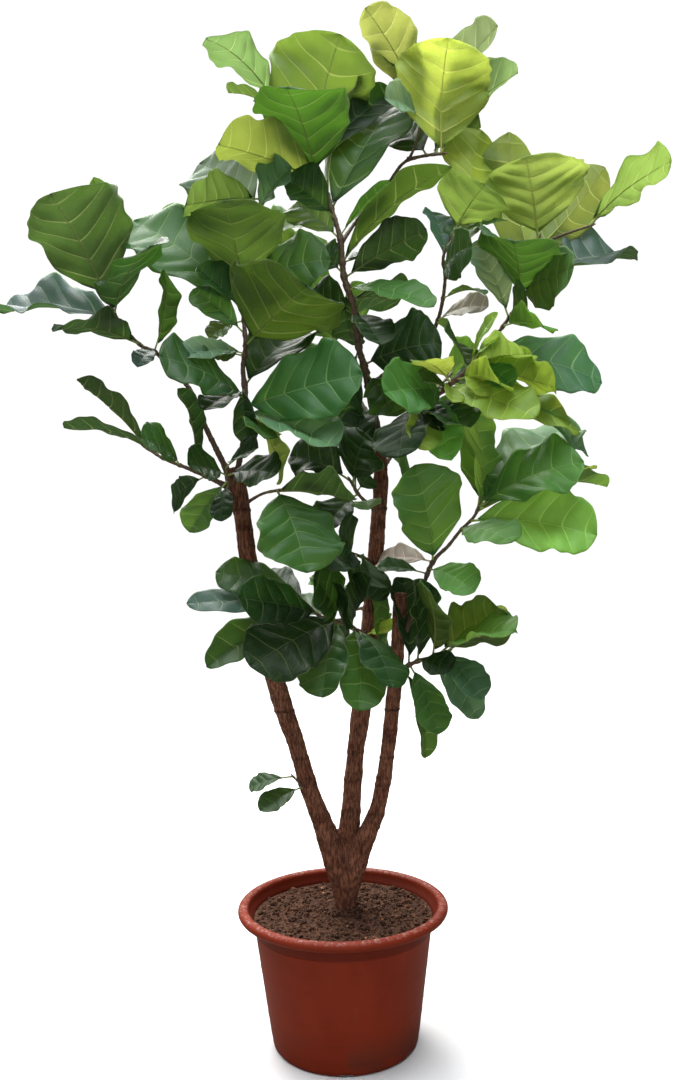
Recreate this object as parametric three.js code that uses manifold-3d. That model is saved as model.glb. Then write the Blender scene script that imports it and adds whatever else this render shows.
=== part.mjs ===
// A fiddle leaf fig grown with three limbs in a round plastic nursery pot.
// Millimetres, +Z up. The origin is the middle of the pot's base, and -Y is the front.
//
// The pot and the soil are turned shapes, and the trunk is three tapered limbs joined at the butt.
// Each leafy bough is one piece: its stem, and the leaves that grow from it.
import * as THREE from "three";
import { mergeVertices } from "three/addons/utils/BufferGeometryUtils.js";
import Module from "manifold-3d";

// Pot
const POT_HEIGHT = 295;
const RIM_OUTER_RADIUS = 225;
const RIM_INNER_RADIUS = 202;
const BASE_RADIUS = 155;
const SHOULDER_RADIUS = 188.5;
const SHOULDER_HEIGHT = 246;
const POT_WALL = 3;
const POT_FLOOR = 4;
const POT_SIDES = 32;
const DRAIN_COUNT = 6;
const DRAIN_WIDTH = 32;
const DRAIN_DEPTH = 26;
const DRAIN_HEIGHT = 6;

// Soil
const SOIL_EDGE_HEIGHT = 268;
const SOIL_MOUND_HEIGHT = 285;
const BUTT_RADIUS = 24;
const BUTT_SIDES = 16;
const BUTT_BOTTOM = 150;
const BUTT_TOP = 318;

// Clearance between pieces that touch
const GAP = 0.4;

// Leaves: the stalk's length and half-width, the blade's thickness and its waviness
const STALK_LENGTH = 28;
const STALK_HALF_WIDTH = 2.2;
const STALK_THICKNESS = 3.6;
const BLADE_THICKNESS = 1.4;
const SMALL_LEAF_WIDTH = 115;
const LEAF_STATIONS = [0, 0.14, 0.4, 0.68, 0.9, 1];
const SMALL_LEAF_STATIONS = [0, 0.25, 0.7, 1];
const TIP_SHARE = 0.12;
const LEAF_ARCH = 0.1;
const LEAF_FOLD_DEGREES = 14;
const FOLD_SPREAD_DEGREES = 10;
const WAVE_HEIGHT = 0.15;
const WAVES_PER_SIDE = 2.3;
const GOLDEN_STEP = 0.618034;

// Limbs of the trunk, each from the butt up: [x, y, z, radius].
const LIMBS = [
  // left limb
  [
    [3, 0, 305, 22],
    [-3, 0, 340, 26],
    [-19, -4, 405, 28],
    [-43, -12, 475, 21],
    [-67, -22, 545, 19],
    [-90, -30, 635, 18],
    [-118, -38, 725, 20],
    [-133, -42, 780, 20],
    [-157, -50, 905, 19],
    [-182, -56, 1030, 19],
    [-192, -58, 1120, 18],
    [-205, -58, 1195, 20],
    [-217, -56, 1225, 16],
  ],
  // centre limb
  [
    [5, 2, 305, 22],
    [8, 4, 340, 26],
    [13, 8, 410, 25],
    [22, 12, 495, 21],
    [33, 18, 600, 18],
    [48, 24, 700, 21],
    [69, 36, 860, 19],
    [88, 45, 1035, 18],
    [94, 45, 1100, 17],
    [103, 40, 1215, 16],
    [98, 30, 1290, 13],
  ],
  // right limb
  [
    [9, -2, 305, 22],
    [18, -8, 340, 24],
    [45, -18, 420, 22],
    [79, -28, 505, 17],
    [100, -40, 615, 15],
    [117, -55, 760, 15],
    [127, -62, 860, 14],
    [133, -70, 960, 14],
  ],
];

// Boughs, each with its stems and its leaves.
// A stem has its radius at the root and at the tip, and the points that it grows through.
// A leaf is [place, tip, face, width]: the place on the bough where it grows, counted in stems
// (0.6 is six tenths along the first stem, 1.6 along the second), the point its tip reaches,
// the direction its upper side looks to, and the blade's width.
const BOUGHS = {
  bough_left_high: {
    stems: [
      { radii: [6, 3], path: [
        [-220, -55, 1215], [-265, -50, 1310], [-300, -30, 1395], [-350, 0, 1455],
        [-385, 20, 1490], [-420, 40, 1510], [-470, 50, 1570], [-490, 50, 1615],
      ] },
    ],
    leaves: [
      [0.99, [-555, -40, 1835], [0.1, 0.9, 0.4], 225],
      [0.98, [-510, 110, 1915], [0.3, 0.9, -0.2], 170],
      [0.93, [-350, -190, 1690], [-0.6, 0, 0.8], 140],
      [0.89, [-725, 60, 1620], [0.1, -0.6, 0.8], 200],
      [0.75, [-550, -120, 1515], [-0.1, 0.1, 1], 130],
      [0.66, [-335, -90, 1640], [-0.9, 0.1, 0.4], 130],
      [0.66, [-400, -90, 1440], [0, -0.4, 0.9], 70],
    ],
  },
  bough_left_mid: {
    stems: [
      { radii: [6, 3], path: [
        [-205, -55, 1205], [-180, -80, 1320], [-180, -80, 1385], [-185, -65, 1435],
        [-180, -50, 1485], [-185, -30, 1565], [-180, -10, 1635], [-160, 5, 1735],
        [-145, 15, 1815],
      ] },
    ],
    leaves: [
      [0.60, [-415, 85, 1765], [0.3, -0.8, 0.6], 150],
      [0.78, [-420, 200, 1870], [0.7, 0.2, 0.7], 150],
      [1.00, [-295, -120, 1830], [0, 0.1, 1], 170],
      [0.97, [-280, 130, 1950], [0.2, -0.7, 0.7], 150],
      [0.93, [-80, -130, 1845], [-0.5, 0.1, 0.9], 120],
      [0.66, [-210, -140, 1755], [0.3, 0.7, 0.6], 200],
      [0.46, [5, -170, 1565], [0, 0.6, 0.8], 220],
      [0.31, [-35, 60, 1540], [0, -0.7, 0.7], 150],
      [0.26, [-335, -230, 1440], [0.7, -0.5, 0.5], 165],
      [0.43, [-290, -180, 1460], [0.4, -0.4, 0.8], 100],
      [0.29, [-250, -190, 1345], [-0.6, 0.1, 0.8], 110],
      [0.24, [60, -170, 1400], [-0.4, -0.9, 0.3], 165],
      [0.22, [10, -190, 1250], [-0.1, -0.7, 0.7], 125],
      [0.24, [-100, -170, 1195], [0.9, 0.3, 0.3], 110],
      [0.20, [-135, -190, 1270], [0.4, -0.3, 0.9], 80],
      [0.83, [-10, 110, 1835], [0, -0.8, 0.6], 150],
      [0.66, [15, -110, 1665], [-0.5, -0.8, 0.3], 170],
    ],
  },
  bough_left_low: {
    stems: [
      { radii: [5, 2.5], path: [
        [-225, -60, 1190], [-285, -80, 1220], [-355, -60, 1250], [-395, -45, 1275],
      ] },
    ],
    leaves: [
      [0.98, [-515, -110, 1415], [0.6, 0.5, 0.7], 140],
      [0.76, [-600, 60, 1355], [0.5, 0.2, 0.9], 130],
      [0.55, [-375, -200, 1290], [0.9, -0.3, 0.3], 100],
      [0.36, [-305, -95, 1390], [0.9, 0.4, 0.1], 60],
      [0.24, [-380, 60, 1180], [0, 0.2, 1], 110],
    ],
  },
  shoot_left_limb: {
    stems: [
      { radii: [4, 2.5], path: [
        [-215, -65, 1190], [-220, -90, 1210], [-220, -105, 1225],
      ] },
    ],
    leaves: [
      [0.59, [-290, -170, 1225], [0.6, -0.4, 0.6], 90],
      [0.35, [-295, -120, 1095], [-0.3, -0.8, 0.5], 75],
      [0.59, [-110, -180, 1205], [-0.4, -0.5, 0.7], 95],
      [1.00, [-145, -180, 1255], [-0.7, -0.5, 0.6], 80],
      [0.22, [-235, -150, 1105], [-1, 0.2, 0.1], 60],
    ],
  },
  twig_left_inner: {
    stems: [
      { radii: [3.5, 2.5], path: [
        [-190, -58, 1150], [-145, -110, 1170], [-115, -130, 1175],
      ] },
    ],
    leaves: [
      [1.00, [-55, -240, 1010], [0.3, -0.7, 0.6], 165],
      [0.85, [65, -170, 1150], [0.2, 0.4, 0.9], 150],
    ],
  },
  leader: {
    stems: [
      { radii: [9, 3], path: [
        [99, 32, 1265], [95, 25, 1320], [85, 15, 1365], [70, 0, 1445], [60, -5, 1480], [50, -15, 1570],
        [30, -20, 1635], [25, -20, 1710], [10, -10, 1770], [-5, 0, 1825], [-40, 10, 1880],
        [-75, 30, 1960], [-110, 50, 2035],
      ] },
    ],
    leaves: [
      [1.00, [-265, -60, 2130], [0.4, 0.2, 0.9], 150],
      [0.94, [-230, 150, 2125], [0.7, 0.1, 0.7], 110],
      [0.77, [60, -30, 2140], [-0.4, 0.9, 0.3], 225],
      [0.75, [-75, -170, 1970], [0.2, 0.4, 0.9], 195],
      [0.73, [-220, -110, 1895], [0.1, 0.1, 1], 140],
      [0.65, [165, 110, 2070], [-0.3, -0.8, 0.5], 165],
      [0.69, [80, 60, 2100], [-0.9, -0.3, 0.3], 140],
      [0.50, [275, -60, 1845], [-0.5, 0.3, 0.8], 165],
      [0.57, [130, -110, 1845], [-0.5, 0.4, 0.7], 90],
      [0.46, [215, -70, 1715], [-0.2, 0.6, 0.8], 170],
      [0.43, [205, -170, 1560], [-0.3, -0.5, 0.8], 130],
      [0.40, [155, 150, 1610], [-0.3, 0, 0.9], 130],
      [0.36, [100, -150, 1455], [0.3, -0.5, 0.8], 90],
      [0.23, [240, -60, 1480], [-0.4, -0.7, 0.6], 180],
      [0.21, [135, -30, 1330], [0.4, -0.8, 0.5], 150],
    ],
  },
  bough_top_right: {
    stems: [
      { radii: [4.5, 2.5], path: [
        [25, -20, 1705], [75, 60, 1795], [125, 50, 1845], [160, 40, 1890], [180, 30, 1905],
        [200, 20, 1955], [205, 20, 2000],
      ] },
      { radii: [3.5, 2.5], path: [
        [175, 30, 1900], [215, 10, 1900], [245, -10, 1895],
      ] },
    ],
    leaves: [
      [1.00, [75, -20, 2205], [0.6, 0.6, 0.5], 150],
      [0.99, [120, 130, 2190], [0.6, -0.5, 0.6], 110],
      [0.96, [120, -60, 2020], [0.7, -0.6, 0.3], 120],
      [2.00, [245, -40, 2130], [-0.2, 1, 0.1], 190],
      [1.85, [395, 120, 2235], [-0.9, 0.4, 0.2], 110],
      [1.97, [415, 40, 2100], [-0.8, 0.3, 0.6], 140],
      [1.55, [160, 190, 2045], [0, -0.6, 0.8], 130],
      [1.75, [360, 170, 2025], [-0.8, 0, 0.6], 130],
    ],
  },
  bough_right_mid: {
    stems: [
      { radii: [5, 2.5], path: [
        [75, 10, 1400], [140, 60, 1455], [210, 75, 1505], [235, 55, 1550], [245, 30, 1590],
        [250, 15, 1640], [245, 0, 1675], [255, -10, 1700], [280, -20, 1745], [305, -25, 1785],
      ] },
    ],
    leaves: [
      [0.84, [310, -190, 1790], [0, 0.4, 0.9], 200],
      [1.00, [360, 90, 1985], [-0.5, 0.8, -0.3], 115],
      [0.72, [220, 160, 1820], [0.8, -0.4, 0.5], 110],
      [0.68, [285, -180, 1645], [-0.9, -0.2, 0.5], 100],
      [0.58, [305, -170, 1555], [0.2, -0.1, 1], 90],
      [0.48, [330, -60, 1565], [-0.6, -0.4, 0.7], 110],
    ],
  },
  bough_right_high: {
    stems: [
      { radii: [6.5, 3], path: [
        [100, 35, 1250], [135, -10, 1300], [165, -50, 1340], [225, -75, 1375],
        [245, -85, 1390], [280, -90, 1415], [315, -75, 1460], [355, -50, 1505],
        [400, -20, 1570], [430, 0, 1645], [450, 0, 1705],
      ] },
      { radii: [3.5, 2.5], path: [
        [445, 0, 1695], [500, -10, 1715], [555, -20, 1730],
      ] },
    ],
    leaves: [
      [2.00, [740, -40, 1840], [-0.4, 0.5, 0.8], 180],
      [0.86, [670, 100, 1755], [0, -0.8, 0.6], 185],
      [1.00, [425, -60, 1925], [0.5, 0.8, 0.3], 225],
      [0.97, [480, 140, 2020], [-0.4, 0.9, -0.3], 160],
      [0.78, [360, -175, 1685], [0.6, 0.4, 0.7], 220],
      [0.82, [475, -180, 1570], [-0.2, -0.4, 0.9], 100],
      [0.66, [420, -200, 1490], [0.5, 0.1, 0.9], 130],
      [0.44, [255, 10, 1505], [0.7, -0.4, 0.6], 130],
      [0.46, [330, -170, 1515], [-0.9, -0.2, 0.3], 60],
      [0.46, [375, -230, 1430], [0.4, 0.3, 0.8], 125],
      [0.52, [560, -80, 1385], [0.1, -0.8, 0.5], 165],
      [0.45, [435, -190, 1355], [0.5, 0.1, 0.9], 130],
      [0.34, [100, -200, 1355], [0.6, -0.6, 0.5], 120],
      [0.22, [125, -220, 1235], [-0.4, -0.4, 0.8], 125],
      [0.24, [270, -190, 1280], [-0.2, -0.5, 0.9], 110],
      [0.38, [180, -200, 1415], [0.1, 0.1, 1], 80],
      [0.35, [385, -250, 1295], [-0.3, -0.6, 0.7], 110],
      [0.40, [320, -250, 1360], [0.6, 0.1, 0.8], 90],
      [0.42, [530, -110, 1265], [0.3, -0.6, 0.7], 120],
      [0.36, [175, -190, 1375], [0.5, -0.4, 0.8], 55],
    ],
  },
  bough_right_low: {
    stems: [
      { radii: [5, 2.5], path: [
        [135, -65, 860], [165, -95, 935], [200, -105, 1025], [230, -110, 1055],
        [255, -110, 1085], [285, -110, 1115], [300, -100, 1145],
      ] },
    ],
    leaves: [
      [0.53, [180, -190, 1215], [0.4, -0.9, -0.3], 165],
      [0.94, [295, -20, 1350], [0.8, -0.5, 0.2], 140],
      [1.00, [350, 30, 1345], [-0.8, 0.6, -0.2], 120],
      [1.00, [520, 60, 1305], [-0.3, -0.5, 0.8], 170],
      [0.96, [495, -170, 1215], [-0.5, -0.6, 0.7], 150],
      [0.86, [510, -200, 1110], [-0.3, -0.7, 0.6], 150],
      [0.79, [330, -270, 1065], [-0.3, -0.3, 0.9], 100],
      [0.93, [580, -20, 1185], [-0.2, -0.1, 1], 120],
      [0.48, [270, -240, 985], [-0.4, -0.4, 0.9], 120],
      [0.53, [120, 40, 1025], [-0.2, -0.1, 1], 130],
    ],
  },
  bough_low_right: {
    stems: [
      { radii: [4.5, 2.5], path: [
        [125, -55, 795], [165, -95, 820], [195, -110, 830], [220, -120, 840],
      ] },
    ],
    leaves: [
      [0.48, [150, -160, 990], [0.8, -0.5, -0.1], 110],
      [0.76, [170, -230, 975], [0.9, 0.3, 0.4], 110],
      [0.90, [345, -60, 930], [-0.6, 0.5, 0.6], 110],
      [1.00, [350, -250, 880], [-0.5, -0.2, 0.9], 130],
      [0.86, [335, -180, 915], [-0.1, 0.7, 0.7], 150],
      [0.97, [290, -230, 770], [0.2, -0.4, 0.9], 120],
      [0.76, [280, -180, 720], [0.5, -0.4, 0.7], 90],
      [0.30, [205, -160, 680], [0.4, -0.7, 0.6], 100],
      [0.16, [180, -90, 620], [0.9, -0.4, 0.3], 65],
    ],
  },
  bough_low_front: {
    stems: [
      { radii: [5, 2.5], path: [
        [70, 35, 860], [45, 0, 875], [25, -30, 890], [5, -50, 900], [-35, -75, 915],
        [-65, -90, 945],
      ] },
    ],
    leaves: [
      [1.00, [-245, -110, 1010], [0.3, -0.7, 0.6], 95],
      [0.98, [-165, 90, 990], [0.1, -0.2, 1], 110],
      [0.82, [-195, -210, 960], [0.6, -0.6, 0.5], 105],
      [0.92, [-300, -150, 945], [0.2, -0.6, 0.8], 105],
      [0.74, [-270, -130, 840], [-0.1, -0.5, 0.9], 115],
      [0.58, [-170, -220, 830], [0.2, -0.6, 0.8], 140],
      [0.54, [-50, -190, 770], [-0.3, -0.6, 0.8], 125],
      [0.34, [40, -190, 740], [0.5, -0.6, 0.7], 115],
      [0.22, [105, -180, 780], [0.4, -0.3, 0.9], 100],
      [0.34, [70, -150, 995], [-1, -0.3, 0], 75],
      [0.61, [-40, -180, 1000], [0.9, -0.4, -0.1], 120],
      [0.46, [30, -160, 960], [-0.9, -0.2, -0.3], 100],
    ],
  },
  twig_centre_front: {
    stems: [
      { radii: [4.5, 2.5], path: [
        [95, 40, 1130], [70, 0, 1150], [50, -30, 1170], [35, -55, 1195],
      ] },
    ],
    leaves: [
      [1.00, [-90, -60, 1250], [0.3, -0.6, 0.7], 150],
      [0.91, [70, -100, 1290], [-0.8, -0.6, -0.1], 150],
      [0.70, [-20, -90, 1095], [-0.4, -0.5, 0.8], 110],
      [0.44, [125, -100, 1145], [-0.1, -0.2, 1], 50],
    ],
  },
  twig_centre_low: {
    stems: [
      { radii: [4, 2.5], path: [
        [85, 40, 1020], [55, 0, 1035], [30, -20, 1045],
      ] },
    ],
    leaves: [
      [0.94, [-40, -180, 1030], [0.5, -0.3, 0.8], 120],
      [0.62, [65, -120, 975], [0.8, -0.2, 0.6], 90],
      [1.00, [5, -160, 1090], [1, -0.2, -0.1], 100],
    ],
  },
  sprout_low_left: {
    stems: [
      { radii: [3, 2], path: [
        [-70, -20, 540], [-85, -45, 555],
      ] },
    ],
    leaves: [
      [0.90, [-185, -60, 555], [0.1, -0.4, 0.9], 40],
      [1.00, [-160, -110, 550], [0.2, -0.3, 0.9], 40],
    ],
  },
  bough_back_left: {
    stems: [
      { radii: [6, 3], path: [
        [95, 30, 1315], [40, 140, 1430], [-15, 240, 1565], [-65, 310, 1670],
      ] },
    ],
    leaves: [
      [1.00, [-175, 420, 1825], [0.8, 0.6, 0.1], 170],
      [0.96, [0, 450, 1860], [-0.8, 0.6, -0.1], 170],
      [0.90, [-190, 460, 1630], [-0.6, -0.5, 0.6], 170],
      [0.72, [100, 450, 1675], [-0.8, 0.1, 0.6], 170],
      [0.50, [-80, 330, 1460], [-0.7, -0.4, 0.6], 160],
      [0.57, [10, 180, 1635], [-0.8, 0.6, 0.1], 150],
    ],
  },
  bough_back_right: {
    stems: [
      { radii: [6, 3], path: [
        [105, 40, 1225], [155, 150, 1300], [220, 250, 1395], [290, 320, 1475],
      ] },
    ],
    leaves: [
      [1.00, [380, 480, 1595], [-0.9, 0.4, 0.1], 170],
      [0.95, [460, 440, 1430], [0.6, -0.6, 0.6], 170],
      [0.87, [185, 400, 1555], [0.9, 0.3, 0.3], 170],
      [0.70, [370, 380, 1320], [0.7, -0.5, 0.5], 160],
      [0.50, [165, 340, 1245], [-1, -0.2, -0.2], 150],
    ],
  },
  bough_back_low: {
    stems: [
      { radii: [4.5, 2.5], path: [
        [80, 40, 940], [75, 150, 920], [30, 230, 900],
      ] },
    ],
    leaves: [
      [1.00, [-120, 330, 890], [-0.3, -0.3, 0.9], 150],
      [0.95, [15, 370, 765], [-0.9, -0.4, -0.3], 150],
      [0.76, [115, 300, 800], [0.9, -0.4, 0.2], 140],
      [0.95, [-20, 380, 945], [0.3, -0.2, 0.9], 140],
    ],
  },
};

// The boughs that grow from the leader's stem. The others grow from the trunk.
const ON_LEADER = ["bough_top_right", "bough_right_mid", "bough_back_left"];

const wasm = await Module();
wasm.setup();

// A closed solid from corner coordinates and triangles.
function solidOf(positions, triangles) {
  return new wasm.Manifold(
    new wasm.Mesh({
      numProp: 3,
      vertProperties: new Float32Array(positions),
      triVerts: new Uint32Array(triangles),
    }),
  );
}

// A closed solid from a three.js geometry, its doubled corners merged.
function solidFromGeometry(geometry) {
  geometry.deleteAttribute("normal");
  geometry.deleteAttribute("uv");
  const merged = mergeVertices(geometry, 1e-3);
  return solidOf(merged.attributes.position.array, merged.index.array);
}

// A named mesh from a solid.
function meshOf(name, solid, material) {
  const { numProp, numVert, vertProperties, triVerts } = solid.getMesh();
  const positions = new Float32Array(numVert * 3);
  for (let i = 0; i < numVert; i++) {
    positions.set(vertProperties.subarray(i * numProp, i * numProp + 3), i * 3);
  }
  const geometry = new THREE.BufferGeometry();
  geometry.setAttribute("position", new THREE.BufferAttribute(positions, 3));
  geometry.setIndex(new THREE.BufferAttribute(triVerts, 1));
  geometry.computeVertexNormals();
  const mesh = new THREE.Mesh(geometry, material);
  mesh.name = name;
  return mesh;
}

// A profile of [radius, height] points turned round the Z axis.
function turned(profile, sides) {
  const points = profile.map(([radius, height]) => new THREE.Vector2(radius, height));
  const geometry = new THREE.LatheGeometry(points, sides);
  geometry.rotateX(Math.PI / 2);
  return solidFromGeometry(geometry);
}

// The smooth line through a list of [x, y, z, ...] points.
function curveThrough(path) {
  const points = path.map(([x, y, z]) => new THREE.Vector3(x, y, z));
  return new THREE.CatmullRomCurve3(points, false, "centripetal");
}

// A round tube along a path, with a radius for each point of the path and closed flat ends.
// `grow` adds to its radius and to both of its ends.
function taperedTube(path, radii, { sides, steps, grow = 0 }) {
  const curve = curveThrough(path);
  const reference = new THREE.Vector3(0.3, 1, 0.1);
  const positions = [];
  for (let i = 0; i <= steps; i++) {
    const place = (i / steps) * (radii.length - 1);
    const from = Math.min(Math.floor(place), radii.length - 2);
    const radius = THREE.MathUtils.lerp(radii[from], radii[from + 1], place - from) + grow;
    const along = curve.getTangent(i / steps);
    const beyond = i === 0 ? -grow : i === steps ? grow : 0;
    const centre = curve.getPoint(i / steps).addScaledVector(along, beyond);
    const right = new THREE.Vector3().crossVectors(along, reference).normalize();
    const forward = new THREE.Vector3().crossVectors(along, right);
    for (let k = 0; k < sides; k++) {
      const angle = (2 * Math.PI * k) / sides;
      const corner = centre.clone();
      corner.addScaledVector(right, radius * Math.cos(angle));
      corner.addScaledVector(forward, radius * Math.sin(angle));
      positions.push(...corner);
    }
  }
  const triangles = [];
  for (let i = 0; i < steps; i++) {
    for (let k = 0; k < sides; k++) {
      const a = i * sides + k;
      const b = i * sides + ((k + 1) % sides);
      triangles.push(a, b, b + sides, a, b + sides, a + sides);
    }
  }
  const last = steps * sides;
  for (let k = 1; k < sides - 1; k++) {
    triangles.push(0, k + 1, k, last, last + k, last + k + 1);
  }
  return solidOf(positions, triangles);
}

// The blade's half-width along its length, as a share of the widest: narrow at the stalk with two
// small lobes, widest past the middle, and blunt at the end.
function bladeOutline(v) {
  const body = Math.sin(Math.PI * v ** 1.45) ** 0.62;
  const lobes = 0.12 * Math.exp(-(((v - 0.07) / 0.06) ** 2));
  return v > 0 ? body + lobes : 0;
}

// One leaf: a stalk and an arched, folded, wavy blade from a root point to a tip point, with its
// upper side towards `face`. Both sides are cut into the same triangles.
function leafSolid({ root, tip, face, width, number }) {
  const chord = tip.clone().sub(root);
  const length = chord.length();
  const along = chord.clone().divideScalar(length);
  const above = face.clone().addScaledVector(along, -face.dot(along)).normalize();
  const across = new THREE.Vector3().crossVectors(along, above);
  const stalk = Math.min(STALK_LENGTH / length, 0.3);
  const fold = THREE.MathUtils.degToRad(
    LEAF_FOLD_DEGREES + FOLD_SPREAD_DEGREES * Math.sin(2.4 * number),
  );
  const phase = (GOLDEN_STEP * number) % 1;
  const stations = width < SMALL_LEAF_WIDTH ? SMALL_LEAF_STATIONS : LEAF_STATIONS;
  const blade = stations.map((v) => ({ t: stalk + (1 - stalk) * v, v }));
  const upper = [];
  const lower = [];
  const rows = [];
  for (const { t, v } of [{ t: 0, v: 0 }, ...blade]) {
    const middle = root.clone().addScaledVector(chord, t);
    middle.addScaledVector(above, 4 * LEAF_ARCH * length * t * (1 - t));
    const tangent = along.clone().addScaledVector(above, 4 * LEAF_ARCH * (1 - 2 * t)).normalize();
    const normal = above.clone().addScaledVector(tangent, -above.dot(tangent)).normalize();
    const onStalk = v === 0;
    const share = v === 1 ? TIP_SHARE : bladeOutline(v);
    const half = onStalk ? STALK_HALF_WIDTH : (width / 2) * share;
    const thickness = onStalk ? STALK_THICKNESS : BLADE_THICKNESS;
    const sides = onStalk || v === 1 ? [-1, 1] : [-1, 0, 1];
    const first = upper.length / 3;
    rows.push([first, first + sides.length - 2, first + sides.length - 1]);
    for (const side of sides) {
      const turn = WAVES_PER_SIDE * v + phase + (side < 0 ? 0.37 : 0);
      const wave = WAVE_HEIGHT * Math.sin(2 * Math.PI * turn);
      const lift = onStalk ? 0 : Math.abs(side) * half * (Math.sin(fold) + wave);
      const reach = side * half * (onStalk ? 1 : Math.cos(fold));
      const point = middle.clone().addScaledVector(across, reach).addScaledVector(normal, lift);
      upper.push(...point.clone().addScaledVector(normal, thickness / 2));
      lower.push(...point.clone().addScaledVector(normal, -thickness / 2));
    }
  }
  const under = upper.length / 3;
  const triangles = [];
  const triangle = (a, b, c) => {
    if (a !== b && b !== c && c !== a) triangles.push(a, b, c);
  };
  const quad = (a, b, c, d) => {
    triangle(a, b, c);
    triangle(a, c, d);
  };
  for (let i = 1; i < rows.length; i++) {
    const near = rows[i - 1];
    const far = rows[i];
    for (const j of [0, 1]) {
      quad(near[j], near[j + 1], far[j + 1], far[j]);
      triangle(near[j] + under, far[j + 1] + under, near[j + 1] + under);
      triangle(near[j] + under, far[j] + under, far[j + 1] + under);
    }
    quad(near[0], far[0], far[0] + under, near[0] + under);
    quad(far[2], near[2], near[2] + under, far[2] + under);
  }
  const base = rows[0];
  const end = rows[rows.length - 1];
  for (const j of [0, 1]) {
    quad(base[j + 1], base[j], base[j] + under, base[j + 1] + under);
    quad(end[j], end[j + 1], end[j + 1] + under, end[j] + under);
  }
  return solidOf([...upper, ...lower], triangles);
}

// The biggest of the bodies that a cut leaves.
function mainBody(solid) {
  const bodies = solid.decompose();
  return bodies.reduce((best, body) => (body.volume() > best.volume() ? body : best));
}

// Pot: a tapered bucket with a collar under a rolled rim, and drain slots round the base.
function potSolid() {
  const rollRadius = (RIM_OUTER_RADIUS - RIM_INNER_RADIUS) / 2;
  const rollCentre = [RIM_OUTER_RADIUS - rollRadius, POT_HEIGHT - 0.9 * rollRadius];
  const roll = [-1.9, -1, 0, 1, 2, 3.1].map((angle) => [
    rollCentre[0] + rollRadius * Math.cos(angle),
    rollCentre[1] + 0.9 * rollRadius * Math.sin(angle),
  ]);
  const profile = [
    [0, 0],
    [BASE_RADIUS - 8, 0],
    [BASE_RADIUS - 2, 2.5],
    [BASE_RADIUS + 1, 9],
    [SHOULDER_RADIUS, SHOULDER_HEIGHT],
    [SHOULDER_RADIUS + 3, SHOULDER_HEIGHT + 2],
    [SHOULDER_RADIUS + 6, SHOULDER_HEIGHT + 20],
    [SHOULDER_RADIUS + 12, SHOULDER_HEIGHT + 28],
    ...roll,
    [SHOULDER_RADIUS + 4, SHOULDER_HEIGHT + 22],
    [SHOULDER_RADIUS - POT_WALL, SHOULDER_HEIGHT],
    [BASE_RADIUS + 1 - POT_WALL, 9],
    [BASE_RADIUS - 5, POT_FLOOR],
    [0, POT_FLOOR],
  ];
  let pot = turned(profile, POT_SIDES);
  for (let i = 0; i < DRAIN_COUNT; i++) {
    const slot = new THREE.BoxGeometry(DRAIN_WIDTH, DRAIN_DEPTH, 2 * DRAIN_HEIGHT);
    slot.translate(0, -BASE_RADIUS, 0);
    slot.rotateZ((2 * Math.PI * i) / DRAIN_COUNT);
    pot = pot.subtract(solidFromGeometry(slot));
  }
  return pot;
}

// The trunk's butt below the soil's surface, or the hole for it when it is grown by the gap.
function buttSolid(grow = 0) {
  const radius = BUTT_RADIUS + grow;
  const bottom = BUTT_BOTTOM - grow;
  return turned([[0, bottom], [radius, bottom], [radius, BUTT_TOP], [0, BUTT_TOP]], BUTT_SIDES);
}

// Soil: it fills the pot and rises in a low mound round the trunk.
function soilSolid() {
  const inner = (height) => {
    const share = (height - 9) / (SHOULDER_HEIGHT - 9);
    return THREE.MathUtils.lerp(BASE_RADIUS + 1, SHOULDER_RADIUS, share) - POT_WALL - GAP;
  };
  const fill = turned(
    [
      [0, POT_FLOOR + GAP],
      [BASE_RADIUS - 6, POT_FLOOR + GAP],
      [inner(10), 10],
      [inner(SHOULDER_HEIGHT), SHOULDER_HEIGHT],
      [SHOULDER_RADIUS + 3, SOIL_EDGE_HEIGHT],
      [150, SOIL_EDGE_HEIGHT + 5],
      [100, SOIL_EDGE_HEIGHT + 8],
      [50, SOIL_MOUND_HEIGHT - 3],
      [32, SOIL_MOUND_HEIGHT],
      [0, SOIL_MOUND_HEIGHT],
    ],
    POT_SIDES,
  );
  return fill.subtract(buttSolid(GAP));
}

// Trunk: three limbs that grow together at the butt.
function trunkSolid(grow = 0) {
  const limbs = LIMBS.map((rows) =>
    taperedTube(rows, rows.map((row) => row[3]), { sides: 9, steps: rows.length, grow }),
  );
  return limbs.reduce((whole, limb) => whole.add(limb), buttSolid(grow));
}

// A bough's bare stems, fused, or the room they take when they are grown by the gap.
function stemsSolid({ stems }, grow = 0) {
  const tubes = stems.map(({ path, radii }) => {
    const share = (i) => i / (path.length - 1);
    const taper = path.map((_, i) => THREE.MathUtils.lerp(radii[0], radii[1], share(i)));
    return taperedTube(path, taper, { sides: 5, steps: path.length, grow });
  });
  return tubes.reduce((whole, tube) => whole.add(tube));
}

// A bough: its stems and leaves fused, and cut clear of the wood that it grows from.
let leafNumber = 0;
function boughSolid({ stems, leaves }, parentRoom) {
  const curves = stems.map(({ path }) => curveThrough(path));
  let bough = stemsSolid({ stems });
  for (const [place, tip, face, width] of leaves) {
    const stemNumber = Math.max(0, Math.ceil(place) - 1);
    const leaf = leafSolid({
      root: curves[stemNumber].getPointAt(place - stemNumber),
      tip: new THREE.Vector3(...tip),
      face: new THREE.Vector3(...face),
      width,
      number: leafNumber++,
    });
    bough = bough.add(leaf);
  }
  return mainBody(bough.subtract(parentRoom));
}

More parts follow.
